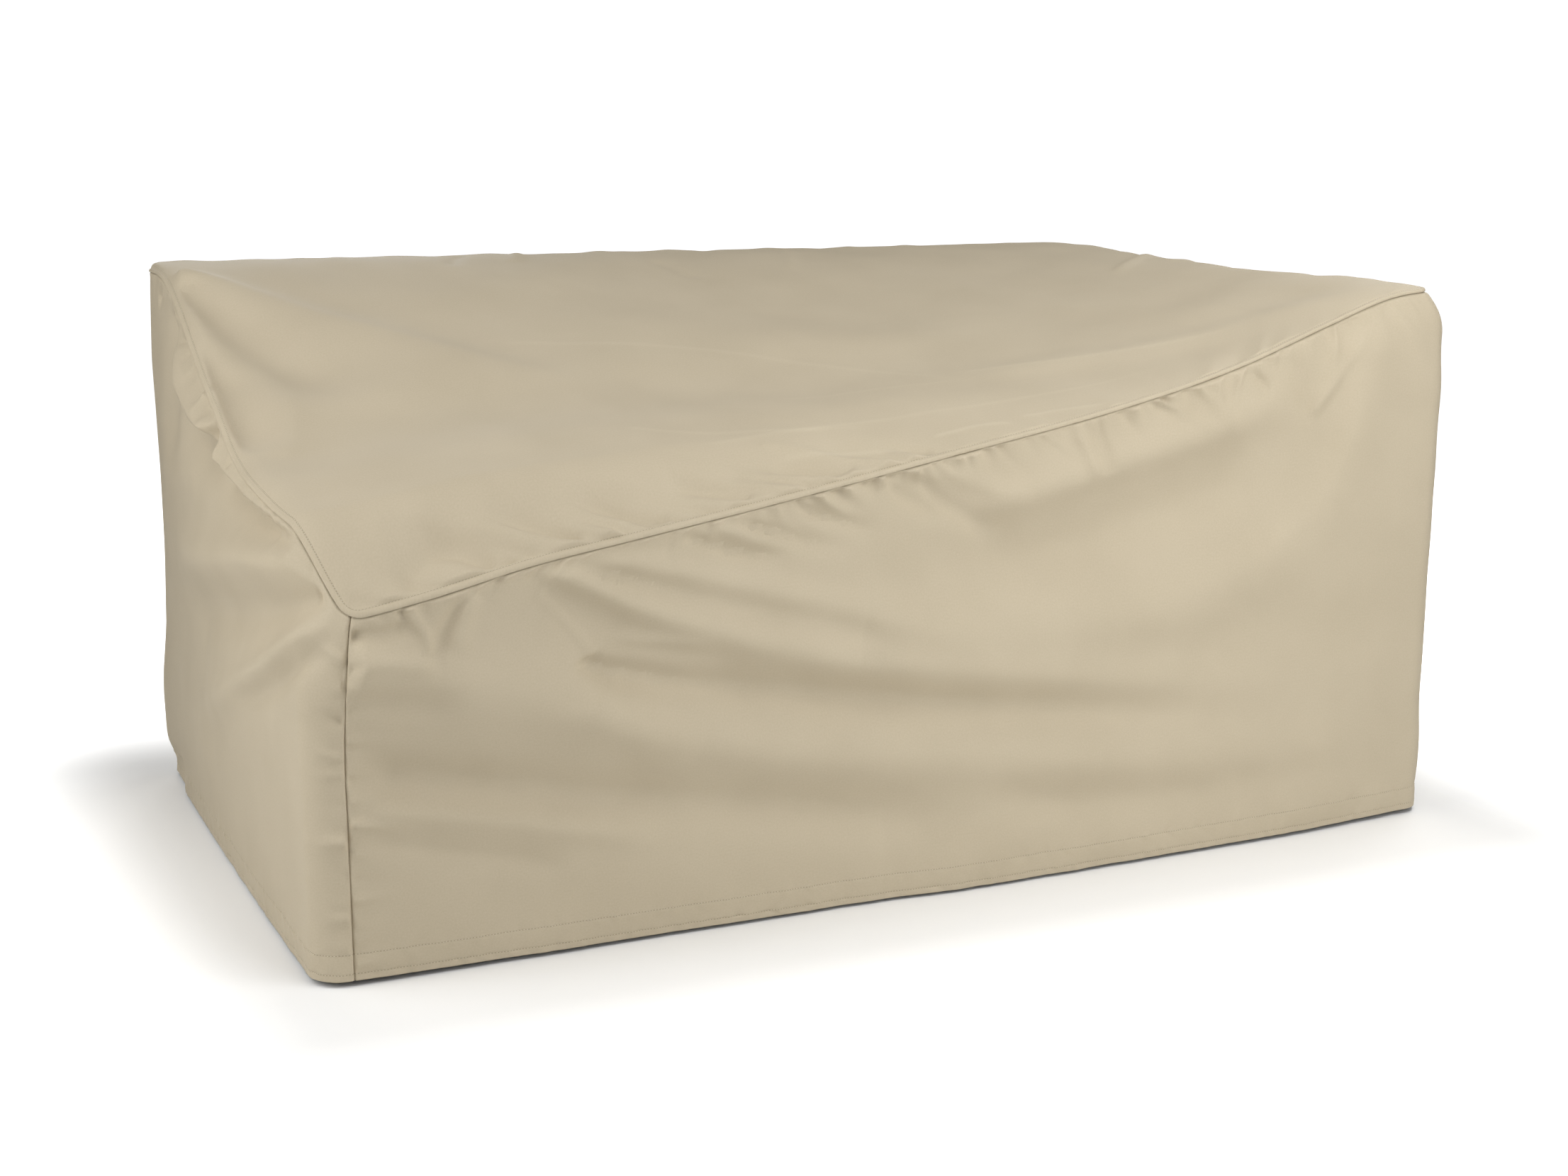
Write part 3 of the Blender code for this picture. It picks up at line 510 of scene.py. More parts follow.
wallPanels = {
    "hemRows": np.array([0, 1.2, 3, 5.2, 7.3, 8.2, 9, 9.8, 10.7, 13, 16.5, 20.5, 24.5, 28.5, 31.5, 33.4,
                         34.2, 35, 35.8, 36.8, 39, 42.5]) / 1000,
    "hemStitches": (0.009, 0.035),
    "topRows": np.array([34, 30, 26, 22.5, 19, 16, 13, 10.5, 8, 6, 4.3, 3, 1.9, 0.9, 0, -1.2, -2.6]) / 1000,
    "middleRows": {"front_panel": 104, "left_panel": 104, "right_panel": 56, "back_panel": 56},
    "steps": {"front_panel": 0.0036, "left_panel": 0.0036, "right_panel": 0.0060, "back_panel": 0.0060},
    "besideSeams": np.array([0.7, 1.5, 2.6, 4.2]) / 1000,     # closer lines beside the upright seams
    "tipBack": (0.05, 0.40), "tipRight": (0.10, 0.45),    # the tip's lean gives way to the walls' over these
    "tipSeam": 0.006,            # from the tip's rounded corner to the upright seam beside it
    "hemEvenRight": 0.45, "hemEvenBack": 0.40,       # the hem's lines are evened out over these from the tip
    "tuck": 0.0017, "tuckReach": 0.0035,     # how far the walls slip in behind the top's skirt
    "grooveDepth": 0.0026, "grooveWidth": 0.0013,
    "hemRise": 0.0008, "hemDip": 0.0005, "hemTop": (0.034, 0.038), "hemSeeds": (30, 33),
    "gathersStart": (0.001, 0.006), "uprightStart": 0.02, "foldsStart": 0.034, "swellStart": 0.09,
    "uneven": {"front_panel": 0.0010, "left_panel": 0.0003, "right_panel": 0.0010, "back_panel": 0.0010},
    "unevenSize": 0.14, "unevenSeed": 17, "unevenStart": 0.05,
}
seamGathers = {
    "front_panel": {"seed": 21, "pitch": 0.018, "rise": 0.0105, "leanSpread": 0.35, "reach": 0.022,
                    "width": 0.0055,
                    "strengths": [(0.0, 0.2), (0.06, 0.8), (0.25, 0.6), (0.36, 0.35), (0.50, 1.0),
                                  (0.90, 1.0), (1.00, 0.4), (1.08, 0.9), (1.40, 1.1), (1.55, 0.7),
                                  (1.68, 0.3), (1.95, 0.3)],
                    "leans": [(0.0, 0.5), (0.12, -0.3), (0.28, -0.5), (0.45, 0.9), (0.95, 1.0),
                              (1.20, 0.6), (1.50, -0.2), (1.95, 0.0)]},
    "left_panel": {"seed": 22, "pitch": 0.028, "rise": 0.0080, "leanSpread": 0.35, "reach": 0.020,
                   "width": 0.0060,
                   "strengths": [(0.0, 0.4), (0.40, 0.6), (0.62, 1.3), (0.80, 0.8), (1.20, 0.6)],
                   "leans": [(0.0, -0.4), (0.6, -0.6), (1.2, 0.2)]},
}
seamGathers["right_panel"] = dict(seamGathers["left_panel"], seed=23)
seamGathers["back_panel"] = dict(seamGathers["left_panel"], seed=24)
uprightGathers = {"seed": 8, "pitch": 0.030, "rise": 0.0120, "leanSpread": 0.25, "reach": 0.021,
                  "width": 0.0055,
                  "strengths": [(0.0, 0.5), (0.1, 0.8), (0.35, 0.9), (0.9, 1.0)],
                  "leans": [(0.0, 0.1), (0.9, -0.2)]}
hemGathers = {"pitch": 0.024, "rise": 0.0022, "leanSpread": 0.8, "reach": 0.011, "width": 0.0050,
              "strengths": [(0.0, 1.0), (1.95, 1.0)], "leans": [(0.0, 0.5), (1.95, 0.5)]}


# A grid's four edges as one line: along the front, the right, the back and the left.
def ringOf(grid):
    return np.concatenate([grid[:, 0], grid[-1, 1:], grid[-2::-1, -1], grid[0, -2:0:-1]])


# The seam's loop for lines at those places, starting at the near left tip and going right along
# the front, and the hem's loop for the same lines. The hem is a rounded rectangle at the cover's
# full size; near the tip its lines are spaced from the upright seam, just right of the corner.
def loops(placeX, placeY):
    px, py = (ringOf(g) for g in np.meshgrid(placeX, placeY, indexing="ij"))
    zero = np.zeros_like(px)
    x, y = topPlan(px, py, zero, zero)
    seam = (x, y, seamHeight(x, y))

    radius = cover["hemRadius"]
    lowX, lowY = rounded(px, py, zero, zero, radius)
    seamX = radius + wallPanels["tipSeam"]
    front = (py == 0) & (px < cover["width"] / 2)
    lowX = np.where(front, px + seamX * (1.0 - smooth(0.0, wallPanels["hemEvenRight"], px)), lowX)
    lowY = np.where(front, 0.0, lowY)
    left = (px == 0) & (py > 0) & (py < cover["depth"] / 2)
    arc = radius * math.pi / 2
    lead = seamX - radius
    course = py + (lead + arc - radius) * smooth(0.0, wallPanels["hemEvenBack"], py)
    turn = np.clip((course - lead) / radius, 0.0, math.pi / 2)
    roundX = np.where(course < lead, seamX - course, radius * (1.0 - np.sin(turn)))
    roundY = radius * (1.0 - np.cos(turn)) + np.maximum(course - lead - arc, 0.0)
    return seam, (np.where(left, roundX, lowX), np.where(left, roundY, lowY))


# Lines along the cover's width and depth for the four walls, closer beside the upright seams.
def wallLines():
    def sideOf(length, step, cuts):      # even lines from seam to seam, and the closer ones
        steps = [level(0.0, step), level(length, step)]
        between = [0.0, *cuts, length]
        parts = [spacedLines(a, b, steps) for a, b in zip(between[:-1], between[1:])]
        extra = [c + side * wallPanels["besideSeams"] for c in between for side in (-1, 1)]
        lines = np.unique(np.round(np.concatenate(parts + extra), 6))
        return lines[(lines >= 0) & (lines <= length)]
    u = cover["uprightSeam"]
    return (sideOf(cover["width"], wallPanels["steps"]["front_panel"], [u, cover["width"] - u]),
            sideOf(cover["depth"], wallPanels["steps"]["left_panel"], [u, cover["depth"] - u]))


# A wall: columns from hem to seam. It leans in towards the seam by the square of the height within the
# edge's drop, swells at mid height and carries its folds.
def wallGrid(name, columns, seamLoop, hemLoop):
    topX, topY, topZ = (r[columns][:, None] for r in seamLoop)
    lowX = hemLoop[0][columns][:, None]
    lowY = hemLoop[1][columns][:, None]
    radius = cover["hemRadius"]
    sideX = lowX - np.clip(lowX, radius, cover["width"] - radius)
    sideY = lowY - np.clip(lowY, radius, cover["depth"] - radius)
    size = np.hypot(sideX, sideY)
    outX = sideX / size
    outY = sideY / size
    front = np.clip(-outY, 0, 1)**2
    back = np.clip(outY, 0, 1)**2
    left = np.clip(-outX, 0, 1)**2
    right = np.clip(outX, 0, 1)**2
    middle = ((front + back) * np.sin(math.pi * np.clip(lowX / cover["width"], 0, 1))
              + (left + right) * np.sin(math.pi * np.clip(lowY / cover["depth"], 0, 1)))
    bottom = -cover["hemSag"] * middle

    # Rows: fixed heights over the hem, even ones between, fixed distances below the seam.
    hemRows = wallPanels["hemRows"]
    topRows = wallPanels["topRows"]
    share = np.linspace(0, 1, wallPanels["middleRows"][name] + 2)[1:-1]
    first = bottom + hemRows[-1]
    last = topZ - topRows[0]
    z = np.concatenate([bottom + hemRows, first + share * (last - first), topZ - topRows], axis=1)
    below = topZ - z
    above = z - bottom
    height = np.clip(above / (topZ - bottom), 0, 1)

    tip = (1.0 - smooth(*wallPanels["tipBack"], topY)) * (1.0 - smooth(*wallPanels["tipRight"], topX))
    drop = (frontEdge.drop * front + rightEdge.drop * right + backEdge.drop * back
            + leftEdge.drop * left) * (1.0 - tip) + tipEdge.drop * tip
    lean = np.clip(1.0 - below / drop, 0.0, 1.0)**2
    x = lowX + (topX - lowX) * lean
    y = lowY + (topY - lowY) * lean
    hemBulge = cover["longHemBulge"] * (front + back) + cover["shortHemBulge"] * (left + right)
    swell = (hemBulge * (1.0 - height) + cover["wallBulge"] * np.sin(math.pi * height)) * middle
    deep = (front * foldField(frontFolds, x, z) + back * foldField(backFolds, x, z)
            + left * foldField(leftFolds, y, z) + right * foldField(rightFolds, y, z))
    out = (swell * smooth(0.0, wallPanels["swellStart"], below)
           + deep * smooth(0.0, wallPanels["foldsStart"], below))
    x = x + out * outX
    y = y + out * outY
    return x, y, z, below, above


# What stands proud of a wall's main form: gathers under the top seam, beside the upright seams and at the
# hem's stitches, the hem's double thickness, grooves along the upright seams; and the wall's slip in behind
# the skirt at the top.
def wallRelief(name, along, z, below, above):
    depthBelow = np.maximum(below, 0.0)
    start = wallPanels["gathersStart"]
    relief = gathers(along, depthBelow, seamGathers[name]) * smooth(*start, below)
    for row, seed in zip(wallPanels["hemStitches"][::-1], wallPanels["hemSeeds"]):
        relief += gathers(along, np.abs(above - row), dict(hemGathers, seed=seed))
    for n, apart in enumerate((along, along[-1:] - along)):
        upright = dict(uprightGathers, seed=uprightGathers["seed"] + n)
        ripple = gathers(z, apart, upright) * smooth(*start, apart)
        relief += ripple * smooth(0.0, wallPanels["uprightStart"], below)
        relief -= wallPanels["grooveDepth"] * np.exp(-(apart / wallPanels["grooveWidth"])**2)
    relief += wallPanels["hemRise"] * (1.0 - smooth(*wallPanels["hemTop"], above))
    for row in wallPanels["hemStitches"]:
        relief -= wallPanels["hemDip"] * np.exp(-((above - row) / stitching["dent"])**2)
    slow = unevenness(along, z, wallPanels["unevenSize"], wallPanels["unevenSeed"])
    relief += wallPanels["uneven"][name] * slow * smooth(0.0, wallPanels["unevenStart"], depthBelow)
    return relief - wallPanels["tuck"] * (1.0 - smooth(0.0, wallPanels["tuckReach"], below))


# From the cover's own corner at the hem to the frame.
shift = np.array([cover["width"] / 2, cover["depth"] - cover["railInset"], -(cadLow.z + cover["hemSag"])])


# Makes an object and puts it in the scene.
def placed(name, data):
    made = bpy.data.objects.new(name, data)
    bpy.context.scene.collection.objects.link(made)
    return made


# The lowest value of a grid within a few lines of each place.
def lowestNear(values, reach):
    lowest = values.copy()
    for axis in (0, 1):
        wide = np.pad(lowest, [(reach, reach) if axis == n else (0, 0) for n in (0, 1)], mode="edge")
        count = values.shape[axis]
        shifted = [np.take(wide, np.arange(k, k + count), axis) for k in range(2 * reach + 1)]
        lowest = np.min(shifted, 0)
    return lowest


innerStep = 3                    # a sheet's inner side keeps every third line


# Which of a sheet's lines its inner side keeps, the first and the last among them.
def keptLines(count):
    return np.unique(np.concatenate([np.arange(0, count, innerStep), [count - 1]]))


# A closed sheet from a grid. Its outer side is the grid moved along its normals by its relief; its
# inner side takes every third line, lies one thickness under the lowest relief near it, and is
# joined to the outer side by one many-sided face for each of its edge steps.
def sheetFrom(name, x, y, z, relief, uv, marks, material):
    smoothForm = np.stack([x, y, z], -1)
    outer, normals = displaced(x, y, z, relief)
    n, m = x.shape
    u = keptLines(n)
    v = keptLines(m)
    under = lowestNear(relief, innerStep)[np.ix_(u, v)] - cover["cloth"]
    inner = smoothForm[np.ix_(u, v)] + normals[np.ix_(u, v)] * under[..., None]
    outerIndex = np.arange(n * m).reshape(n, m)
    innerIndex = n * m + np.arange(len(u) * len(v)).reshape(len(u), len(v))
    top = np.stack([outerIndex[:-1, :-1], outerIndex[1:, :-1], outerIndex[1:, 1:], outerIndex[:-1, 1:]], -1)
    low = np.stack([innerIndex[:-1, :-1], innerIndex[:-1, 1:], innerIndex[1:, 1:], innerIndex[1:, :-1]], -1)
    rims = []
    for outerLine, innerLine, stops, turned in (
            (outerIndex[:, 0], innerIndex[:, 0], u, False), (outerIndex[:, -1], innerIndex[:, -1], u, True),
            (outerIndex[0, :], innerIndex[0, :], v, True), (outerIndex[-1, :], innerIndex[-1, :], v, False)):
        for a, b, c, d in zip(stops[:-1], stops[1:], innerLine[:-1], innerLine[1:]):
            loop = [*outerLine[a:b + 1][::-1].tolist(), int(c), int(d)]
            rims.append(loop[::-1] if turned else loop)
    points = np.concatenate([outer.reshape(-1, 3), inner.reshape(-1, 3)]) - shift
    mesh = bpy.data.meshes.new(name)
    mesh.from_pydata(points.tolist(), [], top.reshape(-1, 4).tolist() + low.reshape(-1, 4).tolist() + rims)
    flat = np.concatenate([uv.reshape(-1, 2), uv[np.ix_(u, v)].reshape(-1, 2)])
    corners = np.empty(len(mesh.loops), np.int32)
    mesh.loops.foreach_get("vertex_index", corners)
    mesh.uv_layers.new(name="clothMetres").data.foreach_set("uv", flat[corners].ravel())
    for mark, values, within in marks:
        line = mesh.attributes.new(mark, "FLOAT", "POINT")
        line.data.foreach_set("value", np.concatenate([values.ravel(), np.full(inner[..., 0].size, within)]))
    mesh.materials.append(material)
    mesh.shade_smooth()
    piece = placed(name, mesh)
    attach(piece, "root")
    print(name, "made,", len(mesh.loops) - 2 * len(mesh.polygons), "triangles")
    return piece, outer, normals


stitching = {"pitch": 0.0042, "length": 0.0029, "radius": 0.00046, "lift": 0.00014,
             "shoulder": 0.45, "endThickness": 0.35,     # shares of the half length and of the radius
             "dive": 1.6, "sides": 5,                    # radii that the ends go down, sides of the thread
             "ahead": 0.001,                             # how far on a stitch looks for its direction
             "dent": 0.0013}                             # half width of the dent along a stitched row


# A row of lock stitches along a line of points with normals: at even steps along the line, a short
# thread that is thickest in its middle and dives into the cloth at both ends.
def stitchRow(points, normals):
    course = np.concatenate([[0.0], np.cumsum(np.linalg.norm(np.diff(points, axis=0), axis=1))])
    places = np.arange(stitching["pitch"], course[-1] - stitching["pitch"], stitching["pitch"])
    at = np.stack([np.interp(places, course, points[:, k]) for k in range(3)], -1)
    up = np.stack([np.interp(places, course, normals[:, k]) for k in range(3)], -1)
    up /= np.linalg.norm(up, axis=1, keepdims=True)
    further = places + stitching["ahead"]
    ahead = np.stack([np.interp(further, course, points[:, k]) for k in range(3)], -1) - at
    ahead -= up * np.sum(ahead * up, 1, keepdims=True)
    ahead /= np.linalg.norm(ahead, axis=1, keepdims=True)
    across = np.cross(up, ahead)
    share = np.array([-1.0, -stitching["shoulder"], stitching["shoulder"], 1.0])
    thick = stitching["radius"] * np.where(np.abs(share) < 1.0, 1.0, stitching["endThickness"])
    lift = stitching["lift"] - stitching["dive"] * stitching["radius"] * share**4
    turn = np.arange(stitching["sides"]) * 2 * math.pi / stitching["sides"]
    ring = (thick[:, None, None] * (np.cos(turn)[None, :, None] * np.array([1.0, 0, 0])
                                    + np.sin(turn)[None, :, None] * np.array([0, 1.0, 0])))
    local = ring + lift[:, None, None] * np.array([0, 1.0, 0])
    local[..., 2] = (share * stitching["length"] / 2)[:, None]
    axes = np.stack([across, up, ahead], 1)
    return at[:, None, None] + np.einsum("rsk,nkc->nrsc", local, axes)


# A piece of all the stitches in some rows: four rings of points to a stitch, joined by quads and
# closed by a face at each end.
def stitchPiece(name, rows, material):
    points = np.concatenate(rows)
    index = np.arange(points[..., 0].size).reshape(points.shape[:3])
    turned = np.roll(index, -1, 2)
    quads = np.stack([index[:, :-1], turned[:, :-1], turned[:, 1:], index[:, 1:]], -1).reshape(-1, 4)
    ends = index[:, 0, ::-1].tolist() + index[:, -1].tolist()
    mesh = bpy.data.meshes.new(name)
    mesh.from_pydata((points.reshape(-1, 3) - shift).tolist(), [], quads.tolist() + ends)
    mesh.materials.append(material)
    mesh.shade_smooth()
    piece = placed(name, mesh)
    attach(piece, "root")
    print(name, "made,", len(points), "stitches")
    return piece


# An sRGB hex colour as linear values: straight below 0.04045 and a power of 2.4 above.
def linearColour(hexText, alpha=1.0):
    parts = [int(hexText[i:i + 2], 16) / 255 for i in (1, 3, 5)]
    return tuple(c / 12.92 if c <= 0.04045 else ((c + 0.055) / 1.055)**2.4 for c in parts) + (alpha,)


# Adds a node, sets its properties and its sockets, and links the sockets given as (node, output).
def addNode(tree, kind, sockets=None, **settings):
    node = tree.nodes.new(kind)
    for key, value in settings.items():
        setattr(node, key, value)
    for key, value in (sockets or {}).items():
        if isinstance(value, tuple) and isinstance(value[0], bpy.types.Node):
            tree.links.new(value[0].outputs[value[1]], node.inputs[key])
        else:
            node.inputs[key].default_value = value
    return node


# A material without nodes, and its tree.
def emptyMaterial(name):
    material = bpy.data.materials.new(name)
    material.use_nodes = True
    material.node_tree.nodes.clear()
    return material, material.node_tree


clothFinish = {
    "yarn": "#bdb19a", "shade": "#b6aa93",   # beige yarn, and its slow drift across the bolt
    "driftScale": 7.0, "grainScale": 380.0, "driftSpread": (0.7, 1.3),      # per metre of cloth
    "roughness": 0.60, "specular": 0.12, "sheen": 0.02, "sheenRoughness": 0.5,
    "threadPitch": 0.0012,       # real threads stand 0.4 mm apart; drawn coarser so that they show
    "weaveHeight": 0.00005, "weaveStrength": 0.5, "weaveWander": 0.5,
    "rubbed": "#d6ccb4", "rubShare": 0.20,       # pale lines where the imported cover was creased
    "stitchShadeColour": "#756b58", "stitchShadeShare": 0.35,       # painted shade: a dark line along each stitch row, over its needle holes and its dent
    "stitchShadeReach": (0.0003, 0.0010),
}


def wovenPolyester():
    # Coated polyester canvas, woven and dyed in the yarn: dull and even, with a faint soft gloss from
    # the coating and a fine plain weave that breaks it up.
    material, tree = emptyMaterial("coatedPolyesterCanvas")
    coords = addNode(tree, "ShaderNodeUVMap", uv_map="clothMetres")
    # A band wave repeats every 2 pi over 20 times its scale.
    scale = 2 * math.pi / (20 * clothFinish["threadPitch"])
    waves = []
    for way in ("X", "Y"):
        waves.append(addNode(tree, "ShaderNodeTexWave", {"Vector": (coords, 0), "Scale": scale,
                                                         "Distortion": clothFinish["weaveWander"],
                                                         "Detail": 1.0}, bands_direction=way))
    weave = addNode(tree, "ShaderNodeMath", {0: (waves[0], 1), 1: (waves[1], 1)}, operation="MULTIPLY")
    drift = addNode(tree, "ShaderNodeTexNoise", {"Vector": (coords, 0), "Scale": clothFinish["driftScale"],
                                                  "Detail": 4.0})
    grain = addNode(tree, "ShaderNodeTexNoise", {"Vector": (coords, 0), "Scale": clothFinish["grainScale"],
                                                  "Detail": 2.0})
    both = addNode(tree, "ShaderNodeMath", {0: (drift, 0), 1: (grain, 0)}, operation="ADD")
    share = addNode(tree, "ShaderNodeMapRange", {
        "Value": (both, 0), "From Min": clothFinish["driftSpread"][0],
        "From Max": clothFinish["driftSpread"][1]})
    dyed = addNode(tree, "ShaderNodeMix", {0: (share, 0), 6: linearColour(clothFinish["shade"]),
                                           7: linearColour(clothFinish["yarn"])}, data_type="RGBA")
    # Painted shade: the cloth is darkened in a thin line along each stitch row, where the holes and the dent
    # lie in shade.
    line = addNode(tree, "ShaderNodeAttribute", attribute_name="fromStitches")
    stitchShade = addNode(tree, "ShaderNodeMapRange", {
        "Value": (line, 2), "From Min": clothFinish["stitchShadeReach"][0], "From Max": clothFinish["stitchShadeReach"][1],
        "To Min": clothFinish["stitchShadeShare"], "To Max": 0.0})
    colour = addNode(tree, "ShaderNodeMix", {0: (stitchShade, 0), 6: (dyed, 2),
                                             7: linearColour(clothFinish["stitchShadeColour"])}, data_type="RGBA")
    pressed = addNode(tree, "ShaderNodeAttribute", attribute_name="pressed")
    rubbed = addNode(tree, "ShaderNodeMath", {0: (pressed, 2), 1: clothFinish["rubShare"]},
                     operation="MULTIPLY")
    worn = addNode(tree, "ShaderNodeMix", {0: (rubbed, 0), 6: (colour, 2),
                                           7: linearColour(clothFinish["rubbed"])}, data_type="RGBA")
    bump = addNode(tree, "ShaderNodeBump", {"Height": (weave, 0), "Strength": clothFinish["weaveStrength"],
                                            "Distance": clothFinish["weaveHeight"]})
    shader = addNode(tree, "ShaderNodeBsdfPrincipled", {
        "Base Color": (worn, 2), "Roughness": clothFinish["roughness"], "Normal": (bump, 0),
        "Specular IOR Level": clothFinish["specular"], "Sheen Weight": clothFinish["sheen"],
        "Sheen Roughness": clothFinish["sheenRoughness"]})
    addNode(tree, "ShaderNodeOutputMaterial", {"Surface": (shader, 0)})
    return material


threadFinish = {"colour": "#d6ccb6", "ply": "#b7ac94", "roughness": 0.5, "twist": 0.0008}


def spunThread():
    # Bonded polyester sewing thread: a shade paler than the cloth, with its plies' twist as fine
    # dark slants and a little more gloss.
    material, tree = emptyMaterial("bondedPolyesterThread")
    coords = addNode(tree, "ShaderNodeTexCoord")
    plies = addNode(tree, "ShaderNodeTexWave", {"Vector": (coords, 3), "Distortion": 1.0,
                                                "Scale": 2 * math.pi / (20 * threadFinish["twist"])},
                    bands_direction="DIAGONAL")
    colour = addNode(tree, "ShaderNodeMix", {0: (plies, 1), 6: linearColour(threadFinish["ply"]),
                                             7: linearColour(threadFinish["colour"])}, data_type="RGBA")
    shader = addNode(tree, "ShaderNodeBsdfPrincipled", {
        "Base Color": (colour, 2), "Roughness": threadFinish["roughness"]})
    addNode(tree, "ShaderNodeOutputMaterial", {"Surface": (shader, 0)})
    return material


cloth = wovenPolyester()
thread = spunThread()
print("materials made")

# The width and length of cloth that each panel is cut from, in metres, and the cut's area.
cut = namedtuple("cut", "width length area")

# The top is made, then its topstitching.
x, y, z, run, px, py = topGrid()
relief = topRelief(x, y, run, px, py)
marks = [("fromStitches", np.abs(run - topStitch), 1.0),
         ("pressed", foldField(packingCreases, x, y), 0.0)]
relief += topPanel["creaseRise"] * marks[1][1]
topSheet, points, normals = sheetFrom("top_cloth", x, y, z, relief, np.stack([x, y], -1), marks, cloth)
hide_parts("top_panel")
k = int(np.argmin(np.abs(run[:, run.shape[1] // 2] - topStitch)))     # the ring of lines at the stitches
loop = ringOf(points[k:len(points) - k, k:points.shape[1] - k])
loopNormals = ringOf(normals[k:len(normals) - k, k:normals.shape[1] - k])
topStitches = stitchPiece("top_seam_stitches", [stitchRow(loop, loopNormals)], thread)

# The walls are made one after the other, each with its hem's stitches.
placesX, placesY = wallLines()
seamLoop, hemLoop = loops(placesX, placesY)
countX = len(placesX) - 1
countY = len(placesY) - 1
fromRight = countX - int(np.argmin(np.abs(placesX - (cover["width"] - cover["uprightSeam"]))))
fromLeft = int(np.argmin(np.abs(placesX - cover["uprightSeam"])))
fromFront = int(np.argmin(np.abs(placesY - cover["uprightSeam"])))
cuts = {"front_panel": (0, countX + fromFront),
        "right_panel": (countX + fromFront, countX + countY + fromRight),
        "back_panel": (countX + countY + fromRight, 2 * countX + countY - fromLeft),
        "left_panel": (2 * countX + countY - fromLeft, 2 * countX + 2 * countY)}
for name, (first, last) in cuts.items():
    columns = np.arange(first, last + 1) % len(seamLoop[0])
    x, y, z, below, above = wallGrid(name, columns, seamLoop, hemLoop)
    steps = np.hypot(np.diff(x[:, 0]), np.diff(y[:, 0]))
    along = np.concatenate([[0.0], np.cumsum(steps)])[:, None] + np.zeros_like(z)
    relief = wallRelief(name, along, z, below, above)
    sewn = np.min([np.abs(above - row) for row in wallPanels["hemStitches"]], 0)
    sheetName = name.replace("panel", "cloth")
    sheet, points, normals = sheetFrom(sheetName, x, y, z, relief, np.stack([along, z], -1),
                                       [("fromStitches", sewn, 1.0)], cloth)
    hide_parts(name)
    rows = [int(np.argmin(np.abs(wallPanels["hemRows"] - h))) for h in wallPanels["hemStitches"]]
    stitches = stitchPiece(name.replace("panel", "hem_stitches"),
                           [stitchRow(points[:, r], normals[:, r]) for r in rows], thread)
print("cover made,", len(cuts), "walls")

# The floor, the camera and the lights. A box's azimuth is 0 in front and 90 to the right, and its
# distance is from the cover's middle.
box = namedtuple("box", "azimuth elevation distance size watts")
studio = {
    "gap": 0.005,                # the hem hangs this far above the floor
    "paper": "#f4f4f3", "roughness": 0.9, "floorReach": 30.0, "layerGap": 0.001,
    "glow": 1.10, "glowReach": 0.42, "shadeAhead": 0.12,   # painted light: the paper's glow, which starts past the cover's shade
    "room": 1.05,
    "heading": 25.1, "pitch": 11.7, "lens": 49.3, "sensor": 36.0,
    "eye": (-0.547, -2.553, 1.039),
    "boxes": {"rightBox": box(30, 45, 2.3, 1.2, 14.9), "frontBox": box(0, 45, 2.3, 1.2, 11.8),
              "lowBox": box(0, 8, 2.3, 1.2, 9.6), "lowRightBox": box(30, 8, 2.3, 1.2, 8.0),
              "lowLeftBox": box(-75, 15, 2.3, 1.2, 17.9), "sideBox": box(-90, 50, 3.2, 1.6, 29.0),
              "farSideBox": box(90, 50, 3.2, 1.6, 27.3), "farRightBox": box(120, 26, 4.5, 2.0, 26.0),
              "behindBox": box(180, 24, 4.5, 2.0, 34.0)},
}


def paperMaterial(name, glows):
    # Matt white paper. Where it glows with painted light it is blown out to plain white away from the cover:
    # the glow grows as an S-shaped step of the distance from a box round the footprint and the shade ahead,
    # so the paper is painted darker towards the cover.
    material, tree = emptyMaterial(name)
    shader = addNode(tree, "ShaderNodeBsdfPrincipled", {
        "Base Color": linearColour(studio["paper"]), "Roughness": studio["roughness"],
        "Emission Color": (1, 1, 1, 1)})
    addNode(tree, "ShaderNodeOutputMaterial", {"Surface": (shader, 0)})
    if not glows:
        return material
    ahead = studio["shadeAhead"]
    middle = ((cadLow.x + cadHigh.x) / 2, (cadLow.y + cadHigh.y - ahead) / 2, cadLow.z - studio["gap"])
    half = ((cadHigh.x - cadLow.x) / 2, (cadHigh.y - cadLow.y + ahead) / 2, 0.0)
    node = addNode(tree, "ShaderNodeTexCoord")
    out = 3
    for operation, other in (("SUBTRACT", middle), ("ABSOLUTE", None), ("SUBTRACT", half),
                             ("MAXIMUM", (0, 0, 0)), ("LENGTH", None)):
        sockets = {0: (node, out)} if other is None else {0: (node, out), 1: other}
        node = addNode(tree, "ShaderNodeVectorMath", sockets, operation=operation)
        out = 0
    glow = addNode(tree, "ShaderNodeMapRange", {
        "Value": (node, 1), "From Max": studio["glowReach"], "To Max": studio["glow"]},
        interpolation_type="SMOOTHSTEP")
    tree.links.new(glow.outputs[0], shader.inputs["Emission Strength"])
    return material


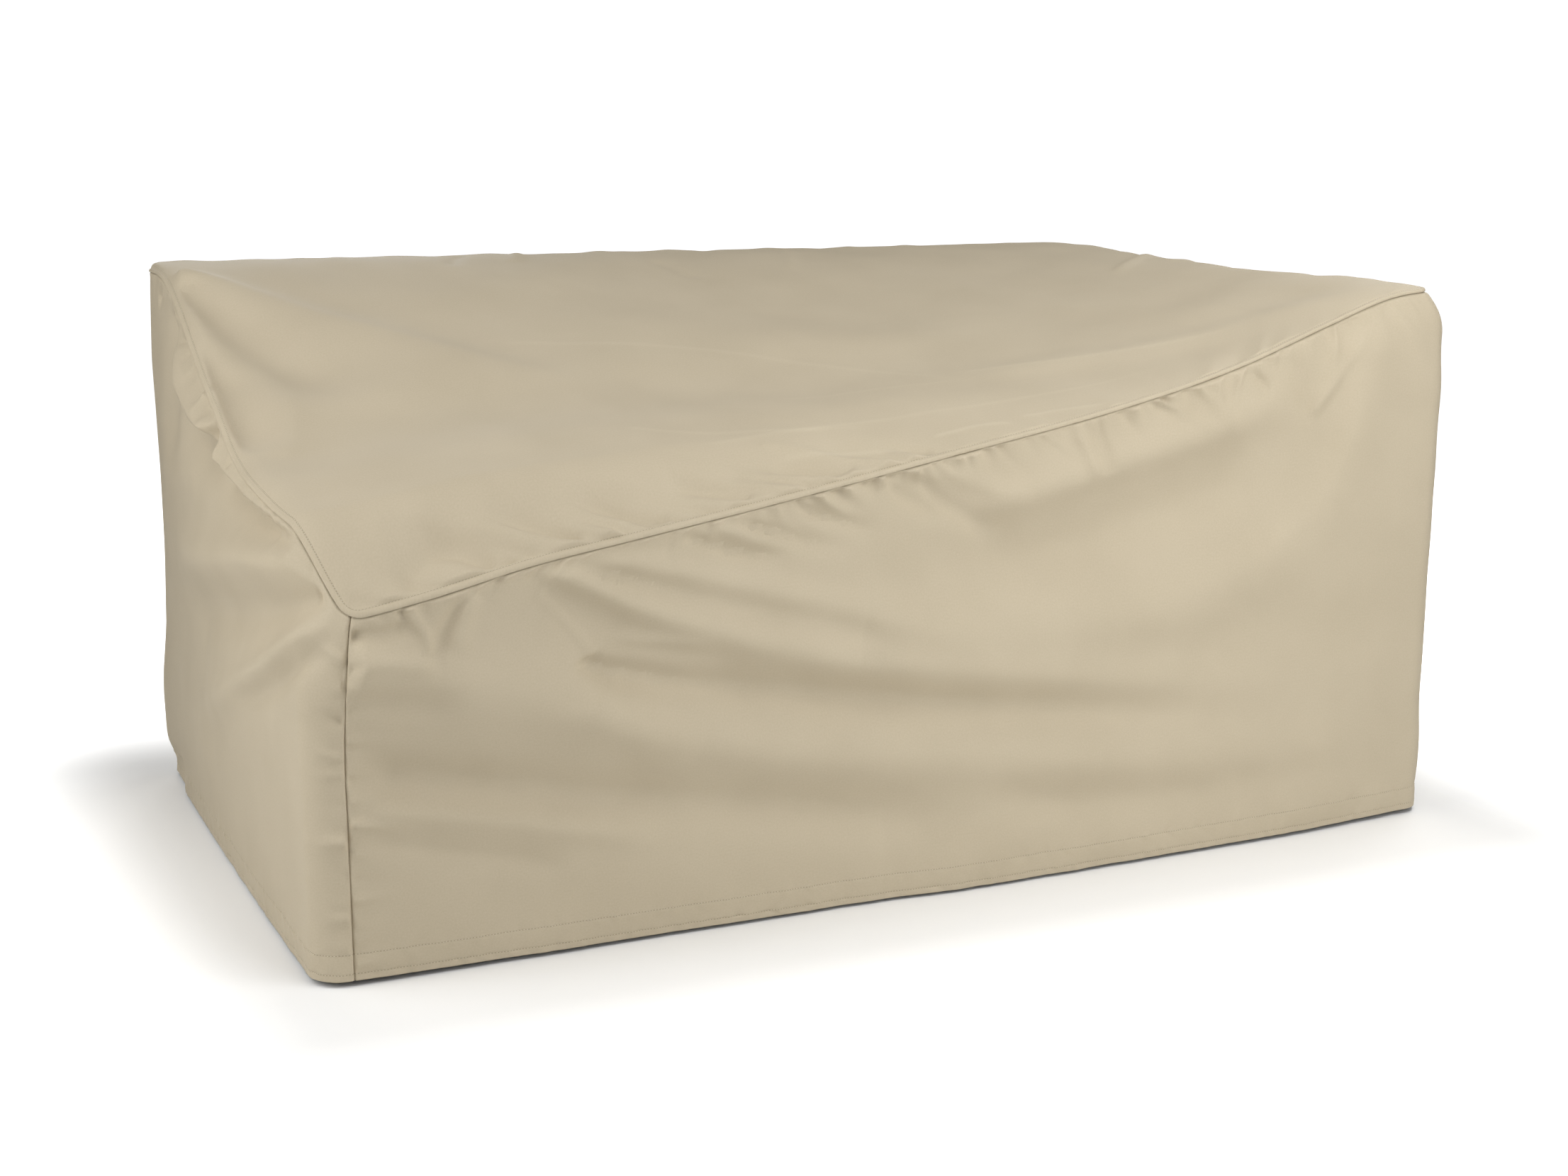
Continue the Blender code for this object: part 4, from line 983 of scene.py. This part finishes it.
# A large square of paper. The one that is seen glows and lights nothing; the other, just below it,
# isn't seen and gives the cover its light from below.
def floorSheet(name, material, lower, seen):
    mesh = bpy.data.meshes.new(name)
    far = studio["floorReach"]
    z = cadLow.z - studio["gap"] - lower
    mesh.from_pydata([(-far, -far, z), (far, -far, z), (far, far, z), (-far, far, z)], [], [(0, 1, 2, 3)])
    mesh.materials.append(material)
    floor = placed(name, mesh)
    floor.visible_camera = seen
    floor.visible_diffuse = not seen
    floor.visible_glossy = not seen
    floor.visible_shadow = not seen


# A camera at eye height that looks in along its heading, 0 from straight in front, and down by
# its pitch.
def addCamera():
    camera = bpy.data.cameras.new("camera")
    camera.lens = studio["lens"]
    camera.sensor_width = studio["sensor"]
    eye = placed("camera", camera)
    eye.location = np.array(studio["eye"]) - shift
    eye.rotation_euler = (math.radians(90 - studio["pitch"]), 0.0, -math.radians(studio["heading"]))
    bpy.context.scene.camera = eye


# A square soft box at its azimuth, elevation and distance from the cover's middle, which it faces.
def softBox(name, setting):
    lamp = bpy.data.lights.new(name, "AREA")
    lamp.shape = "SQUARE"
    lamp.size = setting.size
    lamp.energy = setting.watts
    a = math.radians(setting.azimuth)
    e = math.radians(setting.elevation)
    away = np.array([math.sin(a) * math.cos(e), -math.cos(a) * math.cos(e), math.sin(e)])
    middle = np.array([cadLow.x + cadHigh.x, cadLow.y + cadHigh.y, cadLow.z + cadHigh.z]) / 2
    stand = placed(name, lamp)
    stand.location = middle + away * setting.distance
    stand.rotation_euler = (math.radians(90) - e, 0.0, a)
    stand.visible_camera = False


# The room is plain white behind the cover and gives it no light, so that the boxes do the lighting.
def addRoom():
    world = bpy.data.worlds.new("studioRoom")
    bpy.context.scene.world = world
    world.use_nodes = True
    tree = world.node_tree
    tree.nodes.clear()
    back = addNode(tree, "ShaderNodeBackground", {"Color": (1, 1, 1, 1), "Strength": studio["room"]})
    addNode(tree, "ShaderNodeOutputWorld", {"Surface": (back, 0)})
    world.cycles_visibility.diffuse = False
    world.cycles_visibility.glossy = False


floorSheet("studioFloor", paperMaterial("glowingWhitePaper", True), 0.0, True)
floorSheet("studioFloorBelow", paperMaterial("plainPaper", False), studio["layerGap"], False)
addCamera()
addRoom()
for name, setting in studio["boxes"].items():
    softBox(name, setting)
bpy.context.scene.view_settings.view_transform = "Standard"     # plain colours, white stays white
print("stage, camera and lights made")
